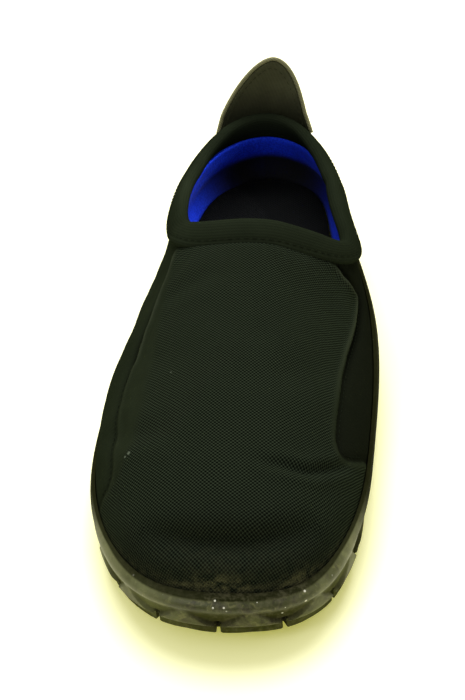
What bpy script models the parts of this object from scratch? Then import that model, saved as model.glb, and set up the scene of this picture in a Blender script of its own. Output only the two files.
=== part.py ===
# Slip-on mesh water shoe, right foot, standing empty on its sole.
# Frame: +Z up, toe towards -Y, outer (little toe) side at -X, origin under the
# middle of the shoe on the floor. Sizes below are millimetres.
import math
from collections import namedtuple

import bpy
import bmesh
import numpy as np

for old in list(bpy.data.objects):
    bpy.data.objects.remove(old, do_unlink=True)

# ---------------------------------------------------------------- sizes
MM = 0.001
LENGTH = 288.0          # heel to toe over the rubber
HALF_STATIONS = 44      # columns down each side of the shoe
UPPER_ROWS = 12         # rows from the sole to the collar
UPPER_WALL = 2.2        # mesh, lining and foam together
GAP = 0.35              # between neighbouring pieces
CUP_FLOOR = 8.0         # rubber under the forefoot, lugs included
HEEL_LIFT = 3.5         # extra rubber under the heel
LUG_HEIGHT = 3.0
LUG_PITCH = 22.5        # along the edge
LUG_WIDTH = 20.8        # leaves narrow notches between the lugs
LUG_PHASE = 0.68        # first lug's middle from the toe, as a share of the pitch
LUG_DEPTH = 12.0
BAR_PITCH = 15.0        # tread bars down the middle
BAR_LENGTH = 7.5
BAR_LEAN = 4.0
TOE_SPRING = 10.0
TOE_SPRING_FROM = 218.0
HEEL_BEVEL = 2.5
ARCH_RISE = 2.5
ARCH_MIDDLE = 118.0
ARCH_HALF = 42.0
INSOLE_THICK = 3.2
BINDING_THICK = 6.4     # the soft roll round the opening
BINDING_TALL = 11.0
BINDING_LEAN = 1.1      # how far it leans in over the opening at the sides
BINDING_PINCH = 2.0     # lost from its height at the inner front corner
BINDING_SIDES = 8
TAB_HALF_WIDTH = 21.0   # heel tab, measured round the heel
TAB_PEAK = 77.0
TAB_FOOT = 29.0
TAB_THICK = 2.0
TAB_LEAN = 5.0          # of the tab's tip, towards the inner side
CORD = 1.8              # elastic cord, diameter
LOCK_DIAMETER = 9.0
LOCK_TALL = 12.0
LOCK_HOLE = 4.0
BUTTON_DIAMETER = 7.0
BUTTON_TALL = 5.0
KNOT = 4.2

# One row for each section of the last, going round from the toe by the outer
# side to the heel and back by the inner side. s is the distance from the heel.
#   out_x, out_s          outline of the rubber
#   top_x, top_s, top_z   edge of the upper at the collar
#   rise, bulge           how the wall starts: upwards and outwards
#   run, pitch            how it comes in to the collar: length and slope
#   lip                   height of the rubber's top edge
#   tuck                  how far the rubber is drawn in at the floor
#   rubber                thickness of the rubber wall at the upper's foot
Section = namedtuple("Section", "name out_x out_s top_x top_s top_z rise bulge run pitch lip tuck rubber")
SECTIONS = [
    Section("toe",           5.0, 287.5,   3.0, 147.0, 74.0, 36.0,  3.5, 62.0, 17.0, 26.0, 0.0, 4.8),
    Section("toe_outer",   -22.5, 280.0,  -9.0, 146.0, 72.5, 35.0,  5.0, 58.0, 18.0, 24.0, 0.0, 4.6),
    Section("little_toe",  -44.8, 249.5, -18.0, 143.0, 69.5, 31.0,  9.0, 46.0, 24.0, 21.0, 0.0, 3.8),
    Section("ball_outer",  -51.6, 199.0, -24.2, 136.0, 65.0, 27.0, 12.0, 34.0, 36.0, 19.5, 0.0, 3.2),
    Section("waist_outer", -46.3, 146.0, -29.6, 116.0, 54.5, 22.0, 10.5, 22.0, 60.0, 21.5, 2.5, 3.0),
    Section("side_outer",  -39.5,  93.0, -33.2,  82.0, 44.0, 15.0,  8.0, 12.0, 80.0, 22.5, 2.0, 3.2),
    Section("heel_outer",  -36.2,  45.0, -30.4,  46.0, 40.0, 13.0,  7.0, 10.0, 84.0, 22.0, 0.0, 3.8),
    Section("back_outer",  -24.2,  12.5, -18.7,  18.5, 40.0, 13.0,  6.5, 10.0, 86.0, 23.5, 0.0, 4.2),
    Section("heel",          1.9,   0.5,   1.9,   8.0, 41.0, 13.0,  6.0, 10.0, 88.0, 24.5, 0.0, 4.4),
    Section("back_inner",   27.8,  12.5,  22.3,  18.5, 39.5, 13.0,  6.5, 10.0, 86.0, 23.5, 0.0, 4.2),
    Section("heel_inner",   37.8,  45.0,  34.5,  48.0, 39.5, 13.0,  7.0, 10.0, 84.0, 22.5, 0.0, 3.8),
    Section("side_inner",   44.5,  93.0,  41.0,  88.0, 43.0, 15.0,  9.0, 12.0, 80.0, 25.5, 6.0, 3.2),
    Section("waist_inner",  50.0, 146.0,  45.6, 124.0, 49.0, 21.0, 12.0, 18.0, 66.0, 28.0, 8.5, 3.0),
    Section("ball_inner",   50.3, 204.0,  34.6, 139.8, 60.0, 27.0, 13.5, 34.0, 40.0, 21.5, 2.0, 3.2),
    Section("big_toe",      46.0, 252.0,  20.5, 145.0, 69.5, 33.0,  9.0, 46.0, 26.0, 22.0, 0.0, 3.8),
    Section("toe_inner",    30.0, 280.5,  12.5, 146.5, 73.0, 35.0,  5.0, 58.0, 19.0, 24.0, 0.0, 4.6),
]
# Rings of the rubber wall, floor to lip: height as a share of the wall, inset
# from the outline, share of the tuck, least thickness of rubber over the upper.
WallRing = namedtuple("WallRing", "share inset tuck cover")
WALL_RINGS = [
    WallRing(0.00, 2.2, 1.00, 1.8),
    WallRing(0.14, 0.7, 0.75, 1.8),
    WallRing(0.36, 0.0, 0.45, 1.8),
    WallRing(0.64, 0.0, 0.15, 1.8),
    WallRing(0.88, 0.8, 0.00, 1.5),
    WallRing(1.00, 2.2, 0.00, 1.0),
]
# Route of the loose cord, measured from the middle of the cord lock.
CordStop = namedtuple("CordStop", "name behind above aside")
CORD_STOPS = [
    CordStop("hanging",   -7.2,  24.0,  0.0),
    CordStop("beside",    -7.2,  10.0,  0.0),
    CordStop("turn",      -6.9,   3.4,  0.0),
    CordStop("entry",     -4.8,   0.3,  0.0),
    CordStop("middle",     0.0,   0.0,  0.0),
    CordStop("exit",       5.2,  -0.1,  0.0),
    CordStop("drop",       8.4,  -3.2,  0.6),
    CordStop("tail",      11.6, -12.0,  1.8),
    CordStop("knot",      15.0, -22.0,  3.4),
    CordStop("end",       17.6, -28.5,  4.4),
]
# Materials: base colour (linear), roughness.
Finish = namedtuple("Finish", "red green blue rough")
FINISHES = {
    "outsole": Finish(0.030, 0.030, 0.024, 0.45),
    "upper": Finish(0.020, 0.021, 0.018, 0.85),
    "insole": Finish(0.012, 0.012, 0.014, 0.90),
    "collar_binding": Finish(0.016, 0.017, 0.015, 0.80),
    "heel_tab": Finish(0.022, 0.023, 0.019, 0.80),
    "drawcord": Finish(0.190, 0.180, 0.140, 0.70),
    "cord_lock": Finish(0.012, 0.013, 0.012, 0.40),
    "lock_button": Finish(0.120, 0.115, 0.070, 0.45),
    "cord_tail": Finish(0.190, 0.180, 0.140, 0.70),
}


# ---------------------------------------------------------------- the last
def closed_spline(knots, period, values):
    """Smooth closed curve through a row of values at each knot."""
    count = len(knots)
    step = np.diff(np.append(knots, knots[0] + period))
    lhs = np.zeros((count, count))
    rhs = np.zeros(values.shape)
    for i in range(count):
        before, after = step[i - 1], step[i]
        lhs[i, i - 1] += before
        lhs[i, i] += 2.0 * (before + after)
        lhs[i, (i + 1) % count] += after
        rhs[i] = 6.0 * ((values[(i + 1) % count] - values[i]) / after - (values[i] - values[i - 1]) / before)
    bend = np.linalg.solve(lhs, rhs)

    def at(t):
        t = np.mod(np.asarray(t, float) - knots[0], period) + knots[0]
        i = np.clip(np.searchsorted(knots, t, side="right") - 1, 0, count - 1)
        j = (i + 1) % count
        b = ((t - knots[i]) / step[i])[..., None]
        a = 1.0 - b
        return (a * values[i] + b * values[j]
                + ((a ** 3 - a) * bend[i] + (b ** 3 - b) * bend[j]) * (step[i] ** 2 / 6.0)[..., None])
    return at


TABLE = np.array([row[1:] for row in SECTIONS], float)
SPACING = np.linalg.norm(np.roll(TABLE[:, :2], -1, 0) - TABLE[:, :2], axis=1)
PERIMETER = SPACING.sum()
LAST = closed_spline(np.concatenate([[0.0], np.cumsum(SPACING)[:-1]]) / PERIMETER, 1.0, TABLE)


def smooth(x):
    x = np.clip(x, 0.0, 1.0)
    return x * x * (3.0 - 2.0 * x)


def ground(s):
    """Height of the tread over the floor: toe spring, arch and heel bevel."""
    s = np.asarray(s, float)
    toe = TOE_SPRING * np.clip((s - TOE_SPRING_FROM) / (LENGTH - TOE_SPRING_FROM), 0, 1) ** 2
    heel = HEEL_BEVEL * np.clip((14.0 - s) / 14.0, 0, 1) ** 2
    arch = ARCH_RISE * np.clip(1.0 - ((s - ARCH_MIDDLE) / ARCH_HALF) ** 2, 0, 1) ** 2
    return toe + heel + arch


def cup_floor(s):
    return ground(s) + CUP_FLOOR + HEEL_LIFT * smooth((150.0 - np.asarray(s, float)) / 110.0)


def outline_frame(u):
    """Section values and the outward direction in plan at u."""
    here = LAST(u)
    along = (LAST(u + 1e-4) - LAST(u - 1e-4))[:, :2]
    along /= np.linalg.norm(along, axis=1)[:, None]
    return here, np.stack([along[:, 1], -along[:, 0]], 1)


def wall_controls(u):
    """The four control points of the upper's wall curve at each u (x, s, z)."""
    row, out = outline_frame(u)
    ox, os_, tx, ts, tz, rise, bulge, run, pitch = row.T[:9]
    rubber = row[:, 11]
    foot = np.stack([ox - out[:, 0] * rubber, os_ - out[:, 1] * rubber, cup_floor(os_) + 0.4], 1)
    lower = foot + np.stack([out[:, 0] * bulge, out[:, 1] * bulge, rise], 1)
    top = np.stack([tx, ts, tz], 1)
    away = foot[:, :2] - top[:, :2]
    away /= np.linalg.norm(away, axis=1)[:, None]
    slope = np.radians(pitch)
    upper = top + np.stack([away[:, 0] * np.cos(slope), away[:, 1] * np.cos(slope), -np.sin(slope)], 1) * run[:, None]
    return foot, lower, upper, top


def wall_point(u, v):
    """Outer face of the upper: u round the shoe, v from the sole to the collar."""
    p0, p1, p2, p3 = wall_controls(u)
    v = np.asarray(v, float)
    v = (np.full(len(u), float(v)) if v.ndim == 0 else v)[:, None]
    w = 1.0 - v
    return w ** 3 * p0 + 3 * w * w * v * p1 + 3 * w * v * v * p2 + v ** 3 * p3


def wall_at_height(u, z):
    """Outer face of the upper at height z near the sole, one z for each u."""
    low, high = np.zeros(len(u)), np.full(len(u), 0.75)
    for _ in range(40):
        mid = 0.5 * (low + high)
        below = wall_point(u, mid)[:, 2] < z
        low, high = np.where(below, mid, low), np.where(below, high, mid)
    return wall_point(u, low)


def column_positions():
    """u of each column: toe, outer side, heel, inner side; both sides share s."""
    fine = np.linspace(0.0, 1.0, 4001)[:-1]
    plan = LAST(fine)[:, :2]
    toe, heel = int(np.argmax(plan[:, 1])), int(np.argmin(plan[:, 1]))
    toe_u = fine[toe] - (1.0 if fine[toe] > 0.5 else 0.0)
    heel_u = fine[heel]
    outer = np.linspace(toe_u, heel_u, 2001)
    inner = np.linspace(toe_u + 1.0, heel_u, 2001)
    walk = LAST(outer)[:, :2]
    arc = np.concatenate([[0.0], np.cumsum(np.linalg.norm(np.diff(walk, axis=0), axis=1))])
    outer_u = np.interp(np.linspace(0.0, arc[-1], HALF_STATIONS + 1), arc, outer)
    stations = LAST(outer_u)[:, 1]
    inner_s = LAST(inner)[:, 1]
    inner_u = np.interp(-stations, -inner_s, inner)
    return np.concatenate([outer_u, inner_u[-2:0:-1]]), heel_u


U, HEEL_U = column_positions()
COLUMNS = len(U)
STATION_S = LAST(U)[:, 1]
ROW, OUT = outline_frame(U)


def sole_rings():
    """Rings of the cup: outer wall from the floor up, then down inside."""
    base = ground(STATION_S) + LUG_HEIGHT
    lip, tuck = ROW[:, 9], ROW[:, 10]
    foot_z = cup_floor(STATION_S) + 0.4
    outer = []
    for ring in WALL_RINGS:
        z = base + (lip - base) * ring.share
        inner = wall_at_height(U, np.maximum(z, foot_z + 0.01))[:, :2] + OUT * GAP
        depth = np.sum((inner - ROW[:, :2]) * OUT, axis=1)
        cover = np.maximum(ring.cover, -(ring.inset + tuck * ring.tuck) - depth)
        outer.append(np.column_stack([inner + OUT * cover[:, None], z]))
    inside = []
    for share in (1.0, 0.7, 0.42, 0.2):
        z = foot_z + (lip - foot_z) * share
        inside.append(np.column_stack([wall_at_height(U, z)[:, :2] + OUT * GAP, z]))
    foot = wall_at_height(U, foot_z + 0.01)[:, :2] + OUT * GAP
    inside.append(np.column_stack([foot, cup_floor(STATION_S)]))
    return outer, inside


OUTER_RINGS, INNER_RINGS = sole_rings()
RUBBER_X = np.concatenate([ring[:, 0] for ring in OUTER_RINGS])
RUBBER_S = np.concatenate([ring[:, 1] for ring in OUTER_RINGS])
CENTRE_X = 0.5 * (RUBBER_X.min() + RUBBER_X.max())
CENTRE_S = 0.5 * (RUBBER_S.min() + RUBBER_S.max())


def world(points):
    """x, s, z in millimetres to the object's frame in metres."""
    points = np.asarray(points, float)
    return np.stack([points[..., 0] - CENTRE_X, CENTRE_S - points[..., 1], points[..., 2]], -1) * MM


# ---------------------------------------------------------------- scene helpers
shoe = bpy.data.collections.new("slip_on_water_shoe")
cutters = bpy.data.collections.new("cutters")
for group in (shoe, cutters):
    bpy.context.scene.collection.children.link(group)


def finish_material(name):
    value = FINISHES[name]
    material = bpy.data.materials.new(name)
    material.use_nodes = True
    shader = material.node_tree.nodes["Principled BSDF"]
    shader.inputs["Base Color"].default_value = (value.red, value.green, value.blue, 1.0)
    shader.inputs["Roughness"].default_value = value.rough
    shader.inputs["Metallic"].default_value = 0.0
    material.diffuse_color = (value.red, value.green, value.blue, 1.0)
    return material


def add_object(name, data, group=shoe):
    ob = bpy.data.objects.new(name, data)
    group.objects.link(ob)
    if group is cutters:
        ob.hide_render = True
        ob.display_type = "WIRE"
    else:
        data.materials.append(finish_material(name))
    return ob


def loft_mesh(name, points, faces, closed=True):
    mesh = bpy.data.meshes.new(name)
    mesh.from_pydata([tuple(p) for p in world(points)], [], faces)
    if closed:
        bm = bmesh.new()
        bm.from_mesh(mesh)
        bmesh.ops.recalc_face_normals(bm, faces=bm.faces[:])
        bm.to_mesh(mesh)
        bm.free()
    mesh.shade_smooth()
    mesh.set_sharp_from_angle(angle=math.radians(38.0))
    return mesh


def ring_band(low, high, count):
    """Quads between two rings whose first vertices are low and high."""
    return [(low + k, high + k, high + (k + 1) % count, low + (k + 1) % count) for k in range(count)]


def cross_strips(first):
    """Faces right across a ring of columns, toe to heel."""
    faces = [(first, first + 1, first + COLUMNS - 1)]
    for k in range(1, HALF_STATIONS - 1):
        faces.append((first + k, first + k + 1, first + COLUMNS - k - 1, first + COLUMNS - k))
    k = HALF_STATIONS - 1
    faces.append((first + k, first + k + 1, first + k + 2))
    return faces


# ---------------------------------------------------------------- upper
def build_upper():
    shares = np.linspace(0.0, 1.0, UPPER_ROWS + 1)
    rings = [wall_point(U, v) for v in shares]
    faces = []
    for j in range(UPPER_ROWS):
        faces += ring_band(j * COLUMNS, (j + 1) * COLUMNS, COLUMNS)
    ob = add_object("upper", loft_mesh("upper", np.concatenate(rings), faces, closed=False))
    shell = ob.modifiers.new("wall", "SOLIDIFY")
    shell.thickness = UPPER_WALL * MM
    shell.offset = -1.0
    shell.use_even_offset = True
    shell.use_rim = True
    return ob


# ---------------------------------------------------------------- outsole
def prism(points, bottom, top):
    """Vertices and faces of a block over a plan outline, toe-spring included."""
    count = len(points)
    verts = [(x, s, z) for (x, s), z in zip(points, bottom)] + [(x, s, z) for (x, s), z in zip(points, top)]
    faces = [tuple(range(count)), tuple(range(count, 2 * count))]
    faces += [(k, (k + 1) % count, count + (k + 1) % count, count + k) for k in range(count)]
    return verts, faces


def tread_rim():
    """Edge of the tread in plan, and the outward direction there."""
    row, out = outline_frame(np.linspace(0.0, 1.0, 1601))
    return row[:, :2] - out * (2.6 + row[:, 10])[:, None], out


def edge_lugs():
    """Tapering blocks round the edge of the tread."""
    rim, out = tread_rim()
    arc = np.concatenate([[0.0], np.cumsum(np.linalg.norm(np.diff(rim, axis=0), axis=1))])
    count = int(round(arc[-1] / LUG_PITCH))
    blocks = []
    for i in range(count):
        middle = (i + LUG_PHASE) * arc[-1] / count
        ends = [np.mod(middle + side * LUG_WIDTH / 2.0, arc[-1]) for side in (-1.0, 0.0, 1.0)]
        edge = [np.array([np.interp(a, arc, rim[:, 0]), np.interp(a, arc, rim[:, 1])]) for a in ends]
        inward = -np.array([np.interp(np.mod(middle, arc[-1]), arc, out[:, c]) for c in (0, 1)])
        inward /= np.linalg.norm(inward)
        along = edge[2] - edge[0]
        root = edge[1] + inward * LUG_DEPTH
        plan = [edge[0], edge[1], edge[2], root + along * 0.28, root - along * 0.28]
        blocks.append([tuple(p) for p in plan])
    return blocks


def middle_bars():
    """Slanted bars in pairs down the middle of the tread."""
    rim, _ = tread_rim()
    blocks = []
    s = 26.0
    while s < 262.0:
        near = np.abs(rim[:, 1] - s) < BAR_LENGTH + BAR_LEAN
        left = rim[near & (rim[:, 0] < 0), 0].max() + LUG_DEPTH + 3.0
        right = rim[near & (rim[:, 0] > 0), 0].min() - LUG_DEPTH - 3.0
        middle = 0.5 * (left + right)
        for side, end in ((-1.0, left), (1.0, right)):
            start = middle + side * 2.5
            if abs(end - start) > 10.0:
                blocks.append([(start, s - BAR_LENGTH / 2 + BAR_LEAN), (end, s - BAR_LENGTH / 2 - BAR_LEAN),
                               (end, s + BAR_LENGTH / 2 - BAR_LEAN), (start, s + BAR_LENGTH / 2 + BAR_LEAN)])
        s += BAR_PITCH
    return blocks


def build_outsole():
    rings = OUTER_RINGS + INNER_RINGS
    faces = []
    for j in range(len(rings) - 1):
        faces += ring_band(j * COLUMNS, (j + 1) * COLUMNS, COLUMNS)
    faces += cross_strips((len(rings) - 1) * COLUMNS)
    faces += cross_strips(0)
    sole = add_object("outsole", loft_mesh("outsole", np.concatenate(rings), faces))

    verts, lug_faces = [], []
    for plan in edge_lugs() + middle_bars():
        s = np.array([p[1] for p in plan])
        low = ground(s)
        block, sides = prism(plan, low, low + LUG_HEIGHT + 1.2)
        lug_faces += [tuple(len(verts) + i for i in face) for face in sides]
        verts += block
    lugs = add_object("lugs", loft_mesh("lugs", verts, lug_faces), cutters)
    join = sole.modifiers.new("lugs", "BOOLEAN")
    join.operation = "UNION"
    join.solver = "EXACT"
    join.object = lugs
    return sole


# ---------------------------------------------------------------- insole
def build_insole():
    foot = wall_point(U, 0.0)[:, :2]
    floor = cup_floor(STATION_S)
    rings = []
    for inset, height in ((UPPER_WALL + 0.6, GAP), (UPPER_WALL + 0.6, INSOLE_THICK - 0.6), (UPPER_WALL + 1.4, INSOLE_THICK)):
        rings.append(np.column_stack([foot - OUT * inset, floor + height]))
    faces = []
    for j in range(2):
        faces += ring_band(j * COLUMNS, (j + 1) * COLUMNS, COLUMNS)
    faces += cross_strips(0) + cross_strips(2 * COLUMNS)
    return add_object("insole", loft_mesh("insole", np.concatenate(rings), faces))


# ---------------------------------------------------------------- collar binding
def collar_frames(u):
    """Middle of the upper's top edge, its upward and outward directions (x, s, z)."""
    p0, p1, p2, p3 = wall_controls(u)
    up = p3 - p2
    up /= np.linalg.norm(up, axis=1)[:, None]
    round_ = LAST(u + 1e-4)[:, 2:5] - LAST(u - 1e-4)[:, 2:5]
    round_ /= np.linalg.norm(round_, axis=1)[:, None]
    outward = np.cross(round_, up)
    outward /= np.linalg.norm(outward, axis=1)[:, None]
    middle = p3 - outward * UPPER_WALL / 2.0
    return middle, up, outward, round_


def binding_height(u):
    """Height of the roll, less at the inner front corner."""
    return BINDING_TALL - BINDING_PINCH * np.exp(-((np.mod(u, 1.0) - 0.80) / 0.05) ** 2)


def binding_frames(u):
    """Centre line of the binding with its tall and thick directions."""
    middle, up, outward, round_ = collar_frames(u)
    side = round_[:, 1:2] ** 2
    tall = up + np.array([0.0, 0.0, 0.55]) - outward * BINDING_LEAN * side
    tall -= np.sum(tall * round_, axis=1)[:, None] * round_
    tall /= np.linalg.norm(tall, axis=1)[:, None]
    thick = np.cross(round_, tall)
    half = binding_height(u) / 2
    lean = np.clip(np.sum(tall * up, axis=1), -1, 1)
    reach = np.sqrt((half * lean) ** 2 + (BINDING_THICK / 2) ** 2 * (1 - lean ** 2))
    across = np.sum(tall * outward, axis=1)
    spread = np.sqrt((half * across) ** 2 + (BINDING_THICK / 2) ** 2 * (1 - across ** 2))
    inwards = np.maximum(spread - BINDING_THICK / 2, 0.0) * side[:, 0]
    return middle + up * (GAP + reach)[:, None] - outward * inwards[:, None], tall, thick


def build_binding():
    centre, tall, thick = binding_frames(U)
    rings = []
    for i in range(BINDING_SIDES):
        angle = 2.0 * math.pi * (i + 0.5) / BINDING_SIDES
        square = 0.82
        across = math.copysign(abs(math.cos(angle)) ** square, math.cos(angle)) * BINDING_THICK / 2
        along = math.copysign(abs(math.sin(angle)) ** square, math.sin(angle)) * binding_height(U) / 2
        rings.append(centre + thick * across + tall * along[:, None])
    faces = []
    for i in range(BINDING_SIDES):
        faces += ring_band(i * COLUMNS, ((i + 1) % BINDING_SIDES) * COLUMNS, COLUMNS)
    return add_object("collar_binding", loft_mesh("collar_binding", np.concatenate(rings), faces))


# ---------------------------------------------------------------- heel tab
def tab_reach():
    """Half the tab's width as a share of the way round the shoe."""
    fine = np.linspace(HEEL_U, HEEL_U + 0.2, 801)
    rim = wall_point(fine, 1.0)[:, :2]
    arc = np.concatenate([[0.0], np.cumsum(np.linalg.norm(np.diff(rim, axis=0), axis=1))])
    return float(np.interp(TAB_HALF_WIDTH, arc, fine)) - HEEL_U


def tab_face(across, z, offset):
    """Point of the tab's surface; across runs -1 (outer) to 1 (inner)."""
    u = HEEL_U + np.asarray(across, float) * tab_reach()
    edge = wall_point(u, 1.0)
    inside = np.minimum(z, edge[:, 2])
    low, high = np.zeros(len(u)), np.ones(len(u))
    for _ in range(40):
        mid = 0.5 * (low + high)
        below = wall_point(u, mid)[:, 2] < inside
        low, high = np.where(below, mid, low), np.where(below, high, mid)
    plan = wall_point(u, low)[:, :2]
    _, _, outward, _ = collar_frames(u)
    out = outward[:, :2] / np.linalg.norm(outward[:, :2], axis=1)[:, None]
    roll = BINDING_THICK / 2 - UPPER_WALL / 2
    bow = GAP + roll * smooth((z - (edge[:, 2] - 6.0)) / 7.0)
    face = plan + out * (bow + offset)[:, None]
    face[:, 0] += TAB_LEAN * np.clip((z - 53.0) / (TAB_PEAK - 53.0), 0.0, 1.0) ** 1.2
    return np.column_stack([face, z])


def tab_top(across):
    """Height of the tab's arched edge."""
    u = HEEL_U + np.asarray(across, float) * tab_reach()
    corner = wall_point(u, 1.0)[:, 2] + 5.0
    return TAB_PEAK - (TAB_PEAK - corner) * np.abs(across) ** 1.75


def build_tab():
    across = np.linspace(-1.0, 1.0, 15)
    edge = wall_point(HEEL_U + across * tab_reach(), 1.0)[:, 2]
    foot = TAB_FOOT + (edge - 4.0 - TAB_FOOT) * np.abs(across) ** 2.2
    top = tab_top(across)
    rows = 9
    rings = [tab_face(across, foot + (top - foot) * j / rows, np.zeros(len(across))) for j in range(rows + 1)]
    count = len(across)
    faces = []
    for j in range(rows):
        for k in range(count - 1):
            a, b = j * count + k, (j + 1) * count + k
            faces.append((a, b, b + 1, a + 1))
    ob = add_object("heel_tab", loft_mesh("heel_tab", np.concatenate(rings), faces, closed=False))
    shell = ob.modifiers.new("cloth", "SOLIDIFY")
    shell.thickness = TAB_THICK * MM
    shell.offset = 1.0
    shell.use_even_offset = True
    shell.use_rim = True
    return ob


# ---------------------------------------------------------------- cords
def cord_object(name, path, swell=None):
    curve = bpy.data.curves.new(name, "CURVE")
    curve.dimensions = "3D"
    curve.bevel_depth = CORD / 2 * MM
    curve.bevel_resolution = 2
    curve.use_fill_caps = True
    spline = curve.splines.new("POLY")
    spline.points.add(len(path) - 1)
    for i, point in enumerate(world(path)):
        spline.points[i].co = (point[0], point[1], point[2], 1.0)
        spline.points[i].radius = 1.0 if swell is None else swell[i]
    return add_object(name, curve)


def spaced(path, spacing):
    """Evenly spaced points along a smooth curve through the route's own points."""
    path = np.asarray(path, float)
    fine = []
    for i in range(len(path) - 1):
        a, b = path[max(i - 1, 0)], path[i]
        c, d = path[i + 1], path[min(i + 2, len(path) - 1)]
        t = np.linspace(0.0, 1.0, 40, endpoint=False)[:, None]
        fine.append(0.5 * (2 * b + (c - a) * t + (2 * a - 5 * b + 4 * c - d) * t ** 2 + (3 * b - a - 3 * c + d) * t ** 3))
    fine = np.concatenate(fine + [path[-1:]])
    arc = np.concatenate([[0.0], np.cumsum(np.linalg.norm(np.diff(fine, axis=0), axis=1))])
    marks = np.linspace(0.0, arc[-1], max(int(round(arc[-1] / spacing)), 2) + 1)
    return np.column_stack([np.interp(marks, arc, fine[:, c]) for c in range(3)]), arc[-1]


def build_drawcord():
    """The elastic cord lying along the tab's arched edge."""
    across = np.linspace(-1.0, 1.0, 41)
    edge = tab_face(across, tab_top(across), np.full(len(across), TAB_THICK / 2 + 0.15))
    along = np.gradient(edge, axis=0)
    along /= np.linalg.norm(along, axis=1)[:, None]
    _, _, outward, _ = collar_frames(HEEL_U + across * tab_reach())
    face = np.column_stack([outward[:, :2] / np.linalg.norm(outward[:, :2], axis=1)[:, None], np.zeros(len(across))])
    clear = np.cross(along, face)
    clear *= np.sign(clear[:, 2])[:, None]
    clear /= np.linalg.norm(clear, axis=1)[:, None]
    path, _ = spaced(edge + clear * (CORD / 2 + 0.45), 5.3)
    return cord_object("drawcord", path)


def lock_centre():
    back = tab_face(np.array([0.0]), np.array([40.0]), np.array([TAB_THICK]))[0]
    return np.array([back[0], back[1] - 9.5, 34.0])


def build_lock():
    x, s, z = lock_centre()
    place = world(np.array([x, s, z]))
    bpy.ops.mesh.primitive_cylinder_add(vertices=20, radius=LOCK_DIAMETER / 2 * MM, depth=LOCK_TALL * MM, location=place)
    body = bpy.context.object
    bpy.ops.mesh.primitive_cylinder_add(vertices=16, radius=LOCK_HOLE / 2 * MM, depth=3 * LOCK_DIAMETER * MM,
                                        location=place, rotation=(math.pi / 2, 0.0, 0.0))
    hole = bpy.context.object
    bpy.ops.mesh.primitive_cylinder_add(vertices=18, radius=BUTTON_DIAMETER / 2 * MM, depth=BUTTON_TALL * MM,
                                        location=world(np.array([x, s, z + LOCK_TALL / 2 + GAP + BUTTON_TALL / 2])))
    button = bpy.context.object
    for ob, name, group in ((body, "cord_lock", shoe), (hole, "lock_hole", cutters), (button, "lock_button", shoe)):
        ob.name = name
        ob.data.name = name
        for old in list(ob.users_collection):
            old.objects.unlink(ob)
        group.objects.link(ob)
        if group is shoe:
            ob.data.materials.append(finish_material(name))
            ob.data.shade_smooth()
            ob.data.set_sharp_from_angle(angle=math.radians(38.0))
            soft = ob.modifiers.new("edge", "BEVEL")
            soft.width = 0.9 * MM
            soft.segments = 2
            soft.limit_method = "ANGLE"
        else:
            ob.hide_render = True
            ob.display_type = "WIRE"
    cut = body.modifiers.new("hole", "BOOLEAN")
    cut.operation = "DIFFERENCE"
    cut.solver = "EXACT"
    cut.object = hole
    return body, button


def build_tail():
    """Cord from the tab's tip, down behind the heel, through the lock, to its knot."""
    x, s, z = lock_centre()
    tip = tab_face(np.array([0.0]), np.array([TAB_PEAK - 4.0]), np.array([TAB_THICK]))[0]
    route = [np.array([tip[0], tip[1] - CORD / 2 - GAP, tip[2]])]
    for stop in CORD_STOPS:
        route.append(np.array([x + stop.aside, s - stop.behind, z + stop.above]))
    path, _ = spaced(route, 3.5)
    swell = np.ones(len(path))
    swell[-4:-2] = KNOT / CORD
    return cord_object("cord_tail", path, swell)


for build in (build_outsole, build_upper, build_insole, build_binding, build_tab, build_drawcord, build_lock, build_tail):
    build()
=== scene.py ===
# Looks of a slip-on mesh water shoe, right foot. Sizes below are millimetres, in
# the shoe's own frame: x across (outer side at -x), s forward from the heel, z up.
import math
from collections import namedtuple

import bpy
import bmesh
import numpy as np
from mathutils import Matrix, Vector

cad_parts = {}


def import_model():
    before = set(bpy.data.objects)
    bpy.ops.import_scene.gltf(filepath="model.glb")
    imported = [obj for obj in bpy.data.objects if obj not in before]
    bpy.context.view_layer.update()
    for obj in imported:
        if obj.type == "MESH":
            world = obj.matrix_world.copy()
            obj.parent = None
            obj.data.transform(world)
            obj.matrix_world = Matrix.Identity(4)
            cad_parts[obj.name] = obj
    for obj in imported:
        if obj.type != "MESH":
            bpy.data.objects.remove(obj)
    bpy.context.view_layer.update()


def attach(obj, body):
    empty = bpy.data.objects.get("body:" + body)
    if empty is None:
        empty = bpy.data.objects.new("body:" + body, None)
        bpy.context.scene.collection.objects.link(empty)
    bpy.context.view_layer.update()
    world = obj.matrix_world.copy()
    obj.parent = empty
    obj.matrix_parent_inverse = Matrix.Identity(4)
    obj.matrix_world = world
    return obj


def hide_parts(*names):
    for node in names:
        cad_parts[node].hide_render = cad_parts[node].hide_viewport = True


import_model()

# ---------------------------------------------------------------- sizes of the shoe
MM = 0.001
LENGTH = 288.0
HALF_STATIONS = 44
UPPER_WALL = 2.2
GAP = 0.35
CUP_FLOOR = 8.0
HEEL_LIFT = 3.5
LUG_HEIGHT = 3.0
LUG_PITCH = 22.5
LUG_WIDTH = 21.1
LUG_PHASE = 0.68
LUG_DEPTH = 12.0
BAR_PITCH = 15.0
BAR_LENGTH = 7.5
BAR_LEAN = 4.0
TOE_SPRING = 10.0
TOE_SPRING_FROM = 218.0
HEEL_BEVEL = 2.5
ARCH_RISE = 2.5
ARCH_MIDDLE = 118.0
ARCH_HALF = 42.0
INSOLE_THICK = 3.2
BINDING_THICK = 6.4
BINDING_TALL = 11.0
BINDING_LEAN = 1.1
BINDING_PINCH = 2.0
TAB_HALF_WIDTH = 21.0
TAB_PEAK = 77.0
TAB_FOOT = 29.0
TAB_THICK = 2.0
TAB_LEAN = 5.0
CORD = 1.8
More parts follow.
